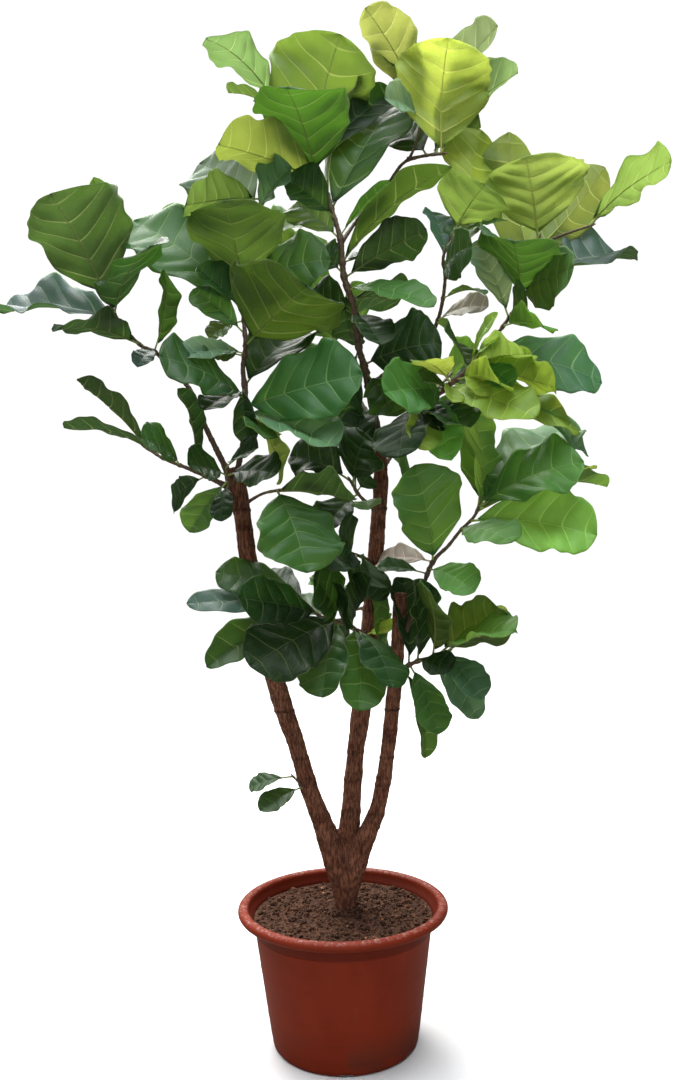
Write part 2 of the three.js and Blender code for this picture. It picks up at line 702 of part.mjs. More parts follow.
const materials = {
  pot: new THREE.MeshStandardMaterial({ color: 0x6e2c1e, roughness: 0.45, metalness: 0 }),
  soil: new THREE.MeshStandardMaterial({ color: 0x3a2a22, roughness: 0.95, metalness: 0 }),
  bark: new THREE.MeshStandardMaterial({ color: 0x55382b, roughness: 0.85, metalness: 0 }),
  leaf: new THREE.MeshStandardMaterial({ color: 0x3f7a35, roughness: 0.35, metalness: 0 }),
};

const group = new THREE.Group();
group.add(meshOf("pot", potSolid(), materials.pot));
group.add(meshOf("soil", soilSolid(), materials.soil));
group.add(meshOf("trunk", trunkSolid(), materials.bark));
const trunkRoom = trunkSolid(GAP);
const leaderRoom = stemsSolid(BOUGHS.leader, GAP);
for (const [name, bough] of Object.entries(BOUGHS)) {
  const parentRoom = ON_LEADER.includes(name) ? trunkRoom.add(leaderRoom) : trunkRoom;
  group.add(meshOf(name, boughSolid(bough, parentRoom), materials.leaf));
}

export default group;
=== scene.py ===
# %% [markdown]
# # A fiddle leaf fig in a nursery pot
#
# The plant is a young tree grown with three limbs in a round plastic tub. Everything here is in
# metres, +Z up, with the middle of the pot's base at the origin and the front towards -Y.
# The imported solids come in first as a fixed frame. Each one is then replaced by finer pieces in
# about the same place: the pot, the soil, the trunk, and the wood and leaves of every bough.

import itertools
import math

import bpy
import numpy as np
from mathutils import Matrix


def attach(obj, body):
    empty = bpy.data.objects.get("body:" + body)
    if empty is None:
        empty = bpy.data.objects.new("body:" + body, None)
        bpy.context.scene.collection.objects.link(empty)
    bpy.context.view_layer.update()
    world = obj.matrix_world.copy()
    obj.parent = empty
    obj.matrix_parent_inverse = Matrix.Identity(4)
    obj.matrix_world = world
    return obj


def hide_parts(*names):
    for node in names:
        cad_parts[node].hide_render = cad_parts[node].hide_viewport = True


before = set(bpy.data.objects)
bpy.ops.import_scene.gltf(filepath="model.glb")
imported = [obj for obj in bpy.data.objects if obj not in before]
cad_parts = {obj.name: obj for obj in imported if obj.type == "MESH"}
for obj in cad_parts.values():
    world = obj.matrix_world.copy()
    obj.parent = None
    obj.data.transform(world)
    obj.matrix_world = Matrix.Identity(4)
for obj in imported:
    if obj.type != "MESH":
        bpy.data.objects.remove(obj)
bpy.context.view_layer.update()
MM = 0.001
print("solids:", len(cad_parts))

# %% [markdown]
# ## Camera and light
#
# The photograph was taken from about 2.1 m away at about half the plant's height, level, with the
# camera turned a little over 1 degree. That places the eye as high as the lower leaves, so the
# top of the soil shows and so do the undersides of the high leaves.
#
# The light is a bright overcast sky: a sun with very soft edges from above, and two big soft
# panels overhead, one of them behind the plant, so that it shines through the top leaves. A small
# weak panel in front and a dim surround fill the shadows. The camera sees the surround as white.

# %% Camera
EYE = (0.010, -2.080, 1.072)
ROLL = 0.021
LENS = 32.2
SENSOR_WIDTH = 36.0

camera_data = bpy.data.cameras.new("camera")
camera_data.sensor_width = SENSOR_WIDTH
camera_data.lens = LENS
camera = bpy.data.objects.new("camera", camera_data)
camera.location = EYE
camera.rotation_euler = (math.radians(90), ROLL, 0)
bpy.context.scene.collection.objects.link(camera)
bpy.context.scene.camera = camera
print("camera at", EYE)


# %% Soft panels
def soft_panel(name, place, aim, size, power, colour):
    """A square area light at `place` that faces `aim`, with its side in metres and its power in
    watts. It lights the scene and isn't seen."""
    data = bpy.data.lights.new(name, "AREA")
    data.size = size
    data.energy = power
    data.color = colour
    panel = bpy.data.objects.new(name, data)
    panel.location = place
    direction = np.subtract(aim, place)
    flat = math.hypot(direction[0], direction[1])
    turn = math.atan2(direction[1], direction[0]) - math.pi / 2
    panel.rotation_euler = (math.atan2(direction[2], flat) + math.pi / 2, 0, turn)
    panel.visible_camera = False
    bpy.context.scene.collection.objects.link(panel)


soft_panel("sky_behind", (-0.8, 2.2, 4.4), (0, 0, 1.5), 2.6, 285, (1.0, 0.98, 0.94))
soft_panel("sky_above", (0.5, -0.9, 4.6), (0, 0, 1.2), 2.4, 160, (0.90, 0.95, 1.0))
soft_panel("open_front", (0.2, -3.4, 0.7), (0, 0, 0.5), 1.4, 27, (1.0, 0.98, 0.96))

# %% Sky and surround
SKY_STRENGTH = 4.6
SKY_SPREAD = math.radians(75)
FILL_STRENGTH = 0.09
BACKDROP_STRENGTH = 1.05

sky_data = bpy.data.lights.new("sky", "SUN")
sky_data.energy = SKY_STRENGTH
sky_data.angle = SKY_SPREAD
sky = bpy.data.objects.new("sky", sky_data)
sky.rotation_euler = (math.radians(-18), math.radians(-12), 0)
bpy.context.scene.collection.objects.link(sky)

world = bpy.data.worlds.new("surround")
world.use_nodes = True
tree = world.node_tree
fill = tree.nodes["Background"]
fill.inputs["Color"].default_value = (0.92, 0.96, 1.0, 1.0)
fill.inputs["Strength"].default_value = FILL_STRENGTH
backdrop = tree.nodes.new("ShaderNodeBackground")
backdrop.inputs["Color"].default_value = (1.0, 1.0, 1.0, 1.0)
backdrop.inputs["Strength"].default_value = BACKDROP_STRENGTH
seen = tree.nodes.new("ShaderNodeLightPath")
choose = tree.nodes.new("ShaderNodeMixShader")
tree.links.new(seen.outputs["Is Camera Ray"], choose.inputs[0])
tree.links.new(fill.outputs[0], choose.inputs[1])
tree.links.new(backdrop.outputs[0], choose.inputs[2])
tree.links.new(choose.outputs[0], tree.nodes["World Output"].inputs["Surface"])
bpy.context.scene.world = world
bpy.context.scene.view_settings.view_transform = "Standard"

# %% [markdown]
# ## Helpers
#
# Every piece is worked out as arrays: a grid of points, the squares between them, and a few
# values at each point that its material reads. `Shell` holds one closed surface of that kind,
# and `make_piece` joins shells into one Blender object that rides on the frame.


# %% Shells and pieces
class Shell:
    """One closed surface: its points, squares and triangles, and three values at each point that
    its finish reads: the tint, the colour of light that comes through, and the place."""

    def __init__(self, points, squares, triangles=(), **values):
        self.points = np.asarray(points, float).reshape(-1, 3)
        count = len(self.points)
        self.squares = np.asarray(squares, int).reshape(-1, 4)
        self.triangles = np.asarray(triangles, int).reshape(-1, 3)
        self.values = {}
        for name in ("tint", "through", "place"):
            value = np.asarray(values.get(name, (1.0, 1.0, 1.0)), float)
            self.values[name] = np.broadcast_to(value, (count, 3))


def make_piece(name, shells, material, node=None):
    """Joins shells into one smooth-shaded object called `name` that stands for the CAD node."""
    starts = np.cumsum([0] + [len(s.points) for s in shells])
    squares = np.vstack([s.squares + start for s, start in zip(shells, starts)])
    triangles = np.vstack([s.triangles + start for s, start in zip(shells, starts)])
    points = np.vstack([s.points for s in shells])
    corners = np.concatenate([squares.ravel(), triangles.ravel()])
    sizes = np.concatenate([np.full(len(squares), 4), np.full(len(triangles), 3)])
    mesh = bpy.data.meshes.new(name)
    mesh.vertices.add(len(points))
    mesh.vertices.foreach_set("co", points.astype(np.float32).ravel())
    mesh.loops.add(len(corners))
    mesh.loops.foreach_set("vertex_index", corners.astype(np.int32))
    mesh.polygons.add(len(sizes))
    mesh.polygons.foreach_set("loop_start", (np.cumsum(sizes) - sizes).astype(np.int32))
    mesh.polygons.foreach_set("use_smooth", np.ones(len(sizes), bool))
    for value in ("tint", "through", "place"):
        each = np.vstack([s.values[value] for s in shells]).astype(np.float32)
        mesh.attributes.new(value, "FLOAT_VECTOR", "POINT").data.foreach_set("vector", each.ravel())
    mesh.update(calc_edges=True)
    mesh.validate()
    mesh.materials.append(material)
    piece = bpy.data.objects.new(name, mesh)
    bpy.context.scene.collection.objects.link(piece)
    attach(piece, "root")
    if node:
        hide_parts(node)
    print(f"{name}: {2 * len(squares) + len(triangles)} triangles")
    return piece


# %% Grids
def grid_squares(rows, columns, wrap=False):
    """The squares of a grid of points stored row by row. `wrap` joins the last column to the
    first."""
    i, j = np.meshgrid(np.arange(rows - 1), np.arange(columns - (not wrap)), indexing="ij")
    right = (j + 1) % columns
    corners = [i * columns + j, i * columns + right, (i + 1) * columns + right, (i + 1) * columns + j]
    return np.stack(corners, -1).reshape(-1, 4)


def tube_shell(rings, **values):
    """A closed surface from rings of points, shaped (rings, points, 3), with a pole point in the
    middle of each end. Each of the `values` holds three numbers for every ring, or for all."""
    count, sides, _ = rings.shape
    poles = np.array([rings[0].mean(0), rings[-1].mean(0)])
    points = np.vstack([rings.reshape(-1, 3), poles])
    k = np.arange(sides)
    first, last = count * sides, count * sides + 1
    end = (count - 1) * sides
    near = np.stack([np.full(sides, first), (k + 1) % sides, k], -1)
    far = np.stack([np.full(sides, last), end + k, end + (k + 1) % sides], -1)
    spread = {}
    for name, value in values.items():
        value = np.asarray(value, float)
        if value.ndim == 1:
            value = np.tile(value, (count, 1))
        each = np.repeat(value, sides, 0)
        spread[name] = np.vstack([each, value[:1], value[-1:]])
    return Shell(points, grid_squares(count, sides, wrap=True), np.vstack([near, far]), **spread)


# %% Curves
def smooth_path(points, t):
    """Points on the smooth curve through `points`, at parameters `t` from 0 to 1. Between two
    points it is a cubic whose slopes come from the neighbours, spaced by the square root of the
    distances, so that it has no loops."""
    points = np.asarray(points, float)
    ends = [2 * points[0] - points[1], 2 * points[-1] - points[-2]]
    padded = np.vstack([ends[:1], points, ends[1:]])
    place = np.clip(np.atleast_1d(t), 0, 1) * (len(points) - 1)
    i = np.minimum(place.astype(int), len(points) - 2)
    s = (place - i)[:, None]
    p0, p1, p2, p3 = (padded[i + k] for k in range(4))
    d0, d1, d2 = (
        np.sqrt(np.linalg.norm(b - a, axis=1, keepdims=True)) for a, b in ((p0, p1), (p1, p2), (p2, p3))
    )
    slope1 = ((p1 - p0) / d0 - (p2 - p0) / (d0 + d1) + (p2 - p1) / d1) * d1
    slope2 = ((p2 - p1) / d1 - (p3 - p1) / (d1 + d2) + (p3 - p2) / d2) * d1
    cubic = 2 * p1 - 2 * p2 + slope1 + slope2
    square = 3 * p2 - 3 * p1 - 2 * slope1 - slope2
    return p1 + s * slope1 + s**2 * square + s**3 * cubic


def length_parameters(points, shares):
    """The parameters at which the smooth curve has run the given shares of its length, and that
    length, measured along 400 short straight steps."""
    t = np.linspace(0, 1, 401)
    steps = np.linalg.norm(np.diff(smooth_path(points, t), axis=0), axis=1)
    run = np.concatenate([[0], np.cumsum(steps)])
    return np.interp(np.asarray(shares) * run[-1], run, t), run[-1]


def unit(vectors):
    """The vectors with their lengths made 1."""
    return vectors / np.maximum(np.linalg.norm(vectors, axis=-1, keepdims=True), 1e-12)


def ring_frames(centres):
    """Two unit directions across the path at each of its points, square to it."""
    along = unit(np.gradient(centres, axis=0))
    right = unit(np.cross(along, (0.3, 1.0, 0.1)))
    return right, np.cross(along, right)


# %% Noise
def hashed(cells, seed):
    """A repeatable value from 0 to 1 for each whole-number cell."""
    x, y, z = (cells[..., k].astype(np.int64) for k in range(3))
    mixed = (x * 374761393 + y * 668265263 + z * 2147483647 + seed * 974634777) & 0xFFFFFFFF
    mixed = ((mixed ^ (mixed >> 13)) * 1274126177) & 0xFFFFFFFF
    mixed = ((mixed ^ (mixed >> 16)) * 2246822519) & 0xFFFFFFFF
    return ((mixed ^ (mixed >> 15)) & 0xFFFFFF) / 0xFFFFFF


def lumps(points, size, seed):
    """Smooth noise from -1 to 1 with lumps about `size` across: the values at the corners of a
    cubic lattice, blended smoothly in between."""
    scaled = np.asarray(points, float) / size
    base = np.floor(scaled).astype(int)
    part = scaled - base
    part = part * part * (3 - 2 * part)
    total = np.zeros(scaled.shape[:-1])
    for corner in np.ndindex(2, 2, 2):
        weight = np.prod(np.where(corner, part, 1 - part), axis=-1)
        total += weight * hashed(base + corner, seed)
    return 2 * total - 1


# %% [markdown]
# ## Finishes
#
# A finish is a small network of shader nodes. `Finish` adds nodes with their inputs given by
# name, so that each finish below reads as a list of what it does to the surface.


# %% Finish helper
class Finish:
    """A material with a Principled surface, and short calls that add nodes to it."""

    def __init__(self, name):
        self.material = bpy.data.materials.new(name)
        self.material.use_nodes = True
        self.tree = self.material.node_tree
        self.surface = self.tree.nodes["Principled BSDF"]
        self.output = self.tree.nodes["Material Output"]
        self.coordinates = self.add("TexCoord").outputs["Object"]

    def add(self, kind, inputs=None, **settings):
        """Adds a node. An input may be a number, a colour, or another node's output."""
        made = self.tree.nodes.new("ShaderNode" + kind)
        for name, value in settings.items():
            setattr(made, name, value)
        for name, value in (inputs or {}).items():
            if isinstance(value, bpy.types.NodeSocket):
                self.tree.links.new(value, made.inputs[name])
            else:
                made.inputs[name].default_value = value
        return made

    def read(self, attribute):
        """One of the values that the piece holds at its points."""
        return self.add("Attribute", attribute_name=attribute).outputs["Vector"]

    def split(self, vector):
        """The three numbers of a vector."""
        return self.add("SeparateXYZ", {"Vector": vector}).outputs

    def sum(self, operation, a, b=0.0):
        """Arithmetic on one or two numbers, such as ABSOLUTE, ADD or MAXIMUM."""
        return self.add("Math", {0: a, 1: b}, operation=operation).outputs[0]

    def noise(self, scale, detail=3.0, roughness=0.55, vector=None):
        """Cloudy noise from 0 to 1."""
        inputs = {"Scale": scale, "Detail": detail, "Roughness": roughness}
        inputs["Vector"] = vector or self.coordinates
        return self.add("TexNoise", inputs).outputs["Fac"]

    def stretch(self, scale):
        """Object coordinates scaled by a different number along each axis."""
        inputs = {"Vector": self.coordinates, "Scale": scale}
        return self.add("Mapping", inputs).outputs["Vector"]

    def remap(self, value, low, high, to_low=0.0, to_high=1.0, smooth=True):
        """Maps the range low..high of a value to to_low..to_high, and clips it."""
        kind = "SMOOTHSTEP" if smooth else "LINEAR"
        inputs = {"From Min": low, "From Max": high, "To Min": to_low, "To Max": to_high}
        inputs["Value"] = value
        return self.add("MapRange", inputs, interpolation_type=kind).outputs["Result"]

    def blend(self, share, a, b, kind="MIX"):
        """Mixes two colours."""
        made = self.add("Mix", data_type="RGBA", blend_type=kind)
        for socket, value in zip((made.inputs[0], made.inputs[6], made.inputs[7]), (share, a, b)):
            if isinstance(value, bpy.types.NodeSocket):
                self.tree.links.new(value, socket)
            elif isinstance(value, float):
                socket.default_value = value
            else:
                socket.default_value = (*value, 1.0)
        return made.outputs[2]

    def bump(self, height, distance, strength=1.0):
        """Raises the surface by `height` times `distance` for the shading."""
        inputs = {"Height": height, "Distance": distance, "Strength": strength}
        return self.add("Bump", inputs).outputs["Normal"]

    def set(self, **inputs):
        """Sets inputs of the surface. An underscore in a name stands for a space."""
        for name, value in inputs.items():
            socket = self.surface.inputs[name.replace("_", " ")]
            if isinstance(value, bpy.types.NodeSocket):
                self.tree.links.new(value, socket)
            else:
                socket.default_value = value
        return self.material


# %% [markdown]
# ### Leaf
#
# A leaf's blade is leathery and glossy above, duller and paler below, and light shines through
# it. Pale veins cross it: the midrib, and the side veins that leave it in pairs and bend towards
# the tip. The veins are lines in the blade's own coordinates, which each point holds in `place`:
# how far across it lies, how far along, and where it lies between two side veins.
# The two surfaces of a blade both let light through, so its look against the light comes out by
# itself.

# %% Leaf finish
TRANSLUCENT_SHARE = 0.55


def leaf_finish():
    """The blade: tinted by its points, veined, with a fine net, and partly translucent."""
    f = Finish("leaf")
    across, along, between = f.split(f.read("place"))
    tint = f.read("tint")
    aside = f.sum("ABSOLUTE", across)
    to_vein = f.sum("ABSOLUTE", f.sum("SUBTRACT", f.sum("FRACT", between), 0.5))
    vein_width = f.remap(aside, 0.0, 1.0, 0.060, 0.024, smooth=False)
    side_vein = f.remap(f.sum("DIVIDE", to_vein, vein_width), 0.3, 1.0, 1.0, 0.0)
    side_vein = f.sum("MULTIPLY", side_vein, f.remap(aside, 0.78, 1.0, 1.0, 0.15))
    side_vein = f.sum("MULTIPLY", side_vein, f.remap(along, 0.86, 0.97, 1.0, 0.0))
    rib_width = f.remap(along, 0.0, 1.0, 0.034, 0.012, smooth=False)
    rib = f.remap(f.sum("DIVIDE", aside, rib_width), 0.4, 1.0, 1.0, 0.0)
    vein = f.sum("MAXIMUM", side_vein, rib)
    cells = f.add("TexVoronoi", {"Vector": f.coordinates, "Scale": 95.0}, feature="DISTANCE_TO_EDGE")
    net = f.remap(cells.outputs["Distance"], 0.0, 0.09, 1.0, 0.0)
    cloud = f.noise(22.0, 4.0)
    colour = f.blend(f.remap(cloud, 0.3, 0.7, 0.0, 0.35), tint, (0.6, 0.72, 0.5), "MULTIPLY")
    colour = f.blend(f.sum("MULTIPLY", net, 0.14), colour, (0.3, 0.42, 0.12))
    edge = f.remap(aside, 0.965, 1.0, 0.0, 0.45)
    colour = f.blend(edge, colour, (0.4, 0.46, 0.2))
    vein_colour = f.blend(0.38, f.blend(1.0, tint, (3.0, 2.5, 2.4), "MULTIPLY"), (0.27, 0.34, 0.15))
    colour = f.blend(f.sum("MULTIPLY", vein, 0.9), colour, vein_colour)
    height = f.sum("ADD", f.sum("MULTIPLY", vein, -0.6), f.sum("MULTIPLY", net, -0.12))
    height = f.sum("ADD", height, f.sum("MULTIPLY", f.noise(60.0), 0.35))
    normal = f.bump(height, 0.0016, 0.8)
    f.set(Base_Color=colour, Roughness=f.remap(cloud, 0.2, 0.8, 0.42, 0.55), Normal=normal)
    f.set(Specular_IOR_Level=0.36)
    through = f.read("through")
    glow = f.blend(f.remap(cloud, 0.3, 0.7, 0.0, 0.4), through, (0.8, 0.85, 0.75), "MULTIPLY")
    glow = f.blend(f.sum("MULTIPLY", net, 0.12), glow, (0.35, 0.45, 0.1))
    vein_glow = f.blend(0.5, f.blend(1.0, through, (1.4, 1.3, 1.5), "MULTIPLY"), (0.98, 0.98, 0.62))
    glow = f.blend(f.sum("MULTIPLY", vein, 0.7), glow, vein_glow)
    lit = f.add("BsdfTranslucent", {"Color": glow, "Normal": normal}).outputs[0]
    mixed = f.add("MixShader", {0: TRANSLUCENT_SHARE, 1: f.surface.outputs[0], 2: lit})
    f.tree.links.new(mixed.outputs[0], f.output.inputs["Surface"])
    return f.material


LEAF = leaf_finish()
print("finish:", LEAF.name)

# %% [markdown]
# ### Twig and bark
#
# Young wood is green at the tip and turns brown towards the trunk, ringed by old leaf scars. The
# trunk's bark is red-brown and rough, with short upright cracks, darker patches and small pale
# pores. Its larger cracks are in the mesh, and the finish adds the finer ones.


# %% Twig and bark finishes
def twig_finish():
    """Young wood, tinted by its points, with fine rings and pores."""
    f = Finish("twig")
    tint = f.read("tint")
    grain = f.noise(1.0, 4.0, 0.6, f.stretch((260.0, 260.0, 90.0)))
    colour = f.blend(f.remap(grain, 0.35, 0.7), tint, (0.45, 0.4, 0.36), "MULTIPLY")
    cells = f.add("TexVoronoi", {"Vector": f.coordinates, "Scale": 260.0})
    pore = f.remap(cells.outputs["Distance"], 0.16, 0.26, 0.5, 0.0)
    colour = f.blend(pore, colour, (0.34, 0.26, 0.18))
    return f.set(Base_Color=colour, Roughness=0.72, Normal=f.bump(grain, 0.0012))


def bark_finish():
    """Old bark: brown, cracked upright, with dark patches and pale pores."""
    f = Finish("bark")
    tint = f.read("tint")
    fibres = f.noise(1.0, 5.0, 0.62, f.stretch((300.0, 300.0, 55.0)))
    patches = f.noise(28.0, 4.0)
    colour = f.blend(f.remap(fibres, 0.4, 0.62), (0.12, 0.046, 0.028), (0.33, 0.145, 0.086))
    colour = f.blend(f.remap(patches, 0.35, 0.7), colour, (0.68, 0.58, 0.56), "MULTIPLY")
    colour = f.blend(1.0, colour, tint, "MULTIPLY")
    cells = f.add("TexVoronoi", {"Vector": f.stretch((190.0, 190.0, 120.0)), "Scale": 1.0})
    pore = f.remap(cells.outputs["Distance"], 0.1, 0.2, 0.45, 0.0)
    colour = f.blend(pore, colour, (0.42, 0.27, 0.17))
    height = f.sum("ADD", fibres, f.sum("MULTIPLY", pore, 0.5))
    f.set(Specular_IOR_Level=0.2)
    return f.set(Base_Color=colour, Roughness=0.85, Normal=f.bump(height, 0.003))


TWIG = twig_finish()
BARK = bark_finish()
print("finishes:", TWIG.name, "and", BARK.name)

# %% [markdown]
# ### Soil, pot and floor
#
# Potting mix is dark peat with bark crumbs and a few pale grains. The pot is thin red-brown
# plastic with a satin skin, scuffed pale along the rim, with dull water marks near its foot. The
# points of the pot hold a painted shade, as in the photograph: it darkens the collar, which lies in
# the rim's shadow, and the inside, and the rim a little.
# The floor is plain and pale, and only carries the plant's shadow.


# %% Soil and pot finishes
def soil_finish():
    """Peat: dark brown, granular, tinted by its points."""
    f = Finish("soil")
    tint = f.read("tint")
    fine = f.noise(260.0, 5.0, 0.7)
    clumps = f.noise(70.0, 4.0, 0.6)
    colour = f.blend(f.remap(fine, 0.35, 0.66), (0.032, 0.014, 0.008), (0.155, 0.076, 0.046))
    colour = f.blend(f.remap(clumps, 0.35, 0.65), colour, (0.62, 0.56, 0.55), "MULTIPLY")
    colour = f.blend(1.0, colour, tint, "MULTIPLY")
    height = f.sum("ADD", fine, clumps)
    f.set(Specular_IOR_Level=0.15)
    return f.set(Base_Color=colour, Roughness=0.95, Normal=f.bump(height, 0.004))


def pot_finish():
    """Red-brown moulded plastic with scuffs on the rim and water marks near the foot."""
    f = Finish("pot")
    height = f.split(f.coordinates)[2]
    mottle = f.noise(9.0, 5.0, 0.6)
    colour = f.blend(f.remap(mottle, 0.3, 0.7), (0.215, 0.024, 0.008), (0.255, 0.031, 0.011))
    # The tint holds the painted shade of the collar and the inside, and darkens the rim a little.
    colour = f.blend(1.0, colour, f.read("tint"), "MULTIPLY")
    runs = f.noise(1.0, 4.0, 0.65, f.stretch((40.0, 40.0, 4.0)))
    colour = f.blend(f.remap(runs, 0.6, 0.8, 0.0, 0.1), colour, (0.3, 0.12, 0.08))
    scuff = f.noise(1.0, 6.0, 0.75, f.stretch((120.0, 120.0, 220.0)))
    worn = f.sum("MULTIPLY", f.remap(scuff, 0.48, 0.66), f.remap(height, 0.2885, 0.2945))
    colour = f.blend(f.sum("MULTIPLY", worn, 0.55), colour, (0.46, 0.33, 0.29))
    foot = f.sum("MULTIPLY", f.remap(mottle, 0.45, 0.6), f.remap(height, 0.1, 0.02))
    colour = f.blend(f.sum("MULTIPLY", foot, 0.55), colour, (0.09, 0.03, 0.02))
    rough = f.sum("ADD", f.remap(mottle, 0.3, 0.8, 0.5, 0.58), f.sum("MULTIPLY", worn, 0.25))
    grain = f.noise(420.0, 2.0)
    f.set(Specular_IOR_Level=0.12)
    return f.set(Base_Color=colour, Roughness=rough, Normal=f.bump(grain, 0.0002, 0.5))


SOIL = soil_finish()
POT = pot_finish()
print("finishes:", SOIL.name, "and", POT.name)


# %% Floor
def floor_finish():
    """Matt white floor with a faint unevenness. It throws back less light than it shows, as the
    dark ground under the real plant did."""
    f = Finish("floor")
    pale = f.blend(f.remap(f.noise(1.5, 3.0), 0.3, 0.7), (0.74, 0.74, 0.74), (0.77, 0.77, 0.77))
    seen = f.add("LightPath").outputs["Is Camera Ray"]
    f.set(Specular_IOR_Level=0.0)
    return f.set(Base_Color=f.blend(seen, (0.24, 0.23, 0.21), pale), Roughness=1.0)


bpy.ops.mesh.primitive_plane_add(size=60.0, location=(0, 0, 0))
floor = bpy.context.object
floor.name = "floor"
floor.data.materials.append(floor_finish())

# %% [markdown]
# ## The pot
#
# The real pot is a thin-walled tub, moulded in one piece, with a rolled rim 45 cm across, a
# collar under the rim, faint rings round the wall, and six shallow drain slots under its edge.
# A Spin or a Screw modifier could turn it. Here the half outline is an array of radii and heights
# that is carried round the axis in one step, because the slots and the slight unevenness of thin
# plastic are then a matter of adding to those arrays.

# %% Pot outline
POT_TURNS = 288
RIM_CENTRE = (0.2135, 0.28465)
RIM_RADII = (0.0115, 0.01035)
WALL_FOOT = (0.156, 0.009)
WALL_TOP = (0.1885, 0.246)
WALL_STEPS = 60
RIM_STEPS = 22
RIM_SWEEP = (-1.9, 3.1)
WALL_RINGS = ((0.169, 0.0005, 0.004), (0.097, 0.0004, 0.003), (0.070, 0.0006, 0.003))
FOOT_BAND_TOP = 0.0285
FOOT_BAND_STEP = 0.0007
INNER_POINTS = 13
DRAIN_COUNT = 6
DRAIN_HALF_WIDTH = 0.016
DRAIN_HEIGHT = 0.006
DRAIN_FLANK = 0.004
DRAIN_INNER = 0.1425
DRAIN_REACH = 0.0075
FOOT_RADIUS = 0.155
WANDER = 0.0022
WANDER_SIZE = 0.16
# Painted shade by height on the outside of the pot: darkest on the collar, which lies in the rim's
# shadow, and a little on the rim. The inside gets one painted shade of its own.
PAINTED_SHADE_HEIGHTS = (0.244, 0.248, 0.272, 0.276)
PAINTED_SHADES = (1.0, 0.60, 0.48, 0.78)
INSIDE_PAINTED_SHADE = 0.5


def pot_outline():
    """Radius and height of each point of the half outline, from the middle of the underside, up
    the outside, over the rolled rim and down the inside, whose last INNER_POINTS are the lip, the
    inner wall and the bottom. The wall carries faint raised rings: each adds a small hump to the
    radius round its own height. Above the foot band the wall steps out a little."""
    under = [(r, 0.0) for r in (0.03, 0.07, 0.105, 0.125, 0.138, 0.142, 0.1465)]
    foot = [(0.1500, 0.0004), (0.1522, 0.0016), (0.1540, 0.0036), (0.1550, 0.0060)]
    share = np.linspace(0, 1, WALL_STEPS)
    heights = WALL_FOOT[1] + share * (WALL_TOP[1] - WALL_FOOT[1])
    radii = WALL_FOOT[0] + share * (WALL_TOP[0] - WALL_FOOT[0])
    for ring, height, width in WALL_RINGS:
        radii = radii + height * np.exp(-(((heights - ring) / width) ** 2))
    radii = radii + FOOT_BAND_STEP * (heights > FOOT_BAND_TOP)
    collar = [(0.1884, 0.2466), (0.1905, 0.2474), (0.1921, 0.2484), (0.1926, 0.2520), (0.1932, 0.2580)]
    flare = [(0.1943, 0.2640), (0.1952, 0.2680), (0.1972, 0.2712), (0.2003, 0.2736), (0.2040, 0.2746)]
    turn = np.linspace(*RIM_SWEEP, RIM_STEPS)
    roll_radii = RIM_CENTRE[0] + RIM_RADII[0] * np.cos(turn)
    roll_heights = RIM_CENTRE[1] + RIM_RADII[1] * np.sin(turn)
    lip = [(0.2010, 0.2830), (0.1990, 0.2790), (0.1960, 0.2745), (0.1938, 0.2712), (0.1925, 0.2680)]
    inside = [(0.1905, 0.2600), (0.1865, 0.2470), (0.1700, 0.1300), (0.1530, 0.0090), (0.1500, 0.0040)]
    bottom = [(r, 0.004) for r in (0.12, 0.08, 0.03)]
    wall = list(zip(radii, heights))
    roll = list(zip(roll_radii, roll_heights))
    return np.array(under + foot + wall + collar + flare + roll + lip + inside + bottom)


# %% Turn the pot
def turned_shell(outline, turns, shape, **values):
    """The closed surface that a half outline sweeps round the axis. `shape` moves its points, which
    it gets as an array of (outline, turns, 3)."""
    angle = np.arange(turns) / turns * 2 * np.pi
    radius, height = outline[:, 0, None], outline[:, 1, None]
    flat = radius * np.cos(angle), radius * np.sin(angle)
    rings = np.stack(np.broadcast_arrays(*flat, height), -1)
    return tube_shell(shape(rings), **values)


def settle_pot(rings):
    """Cuts the drain slots and lets the thin wall wander by up to half a millimetre. A slot lifts
    the edge of the underside to DRAIN_HEIGHT where its middle is less than DRAIN_HALF_WIDTH away,
    and its flank slopes over DRAIN_FLANK."""
    angle = np.arctan2(rings[..., 1], rings[..., 0]) + np.pi / 2
    radius = np.hypot(rings[..., 0], rings[..., 1])
    step = 2 * np.pi / DRAIN_COUNT
    off = np.abs((angle + step / 2) % step - step / 2) * FOOT_RADIUS
    inside = np.clip((DRAIN_HALF_WIDTH - off) / DRAIN_FLANK, 0, 1)
    reach = (radius > DRAIN_INNER) & (rings[..., 2] < DRAIN_REACH)
    outer = np.arange(len(rings))[:, None] < len(rings) - INNER_POINTS
    lifted = np.maximum(rings[..., 2], DRAIN_HEIGHT * inside)
    rings[..., 2] = np.where(reach & outer, lifted, rings[..., 2])
    wander = 1 + WANDER * lumps(rings * (1, 1, 0.6), WANDER_SIZE, seed=3)
    rings[..., :2] *= np.where(rings[..., 2:] > 0.008, wander[..., None], 1)
    return rings


tub = pot_outline()
outside = np.arange(len(tub)) < len(tub) - INNER_POINTS
# Each point's painted shade: by height outside, and one value inside.
painted_shades = np.where(outside, np.interp(tub[:, 1], PAINTED_SHADE_HEIGHTS, PAINTED_SHADES), INSIDE_PAINTED_SHADE)
pot_shell = turned_shell(tub, POT_TURNS, settle_pot, tint=np.stack([painted_shades] * 3, -1))
make_piece("nursery_pot", [pot_shell], POT, "pot")

# %% [markdown]
# ## The soil
#
# Potting mix fills the tub to about 2 cm below the rim and rises a little round the trunk. One
# turned surface gives the ground, roughened by three sizes of noise, and some crumbs of peat and
# bark lie loose on top. Each crumb has only twenty faces, because there are 1,500 of them.

# %% Ground
SOIL_RINGS = 112
SOIL_TURNS = 320
SOIL_RADIUS = 0.1912


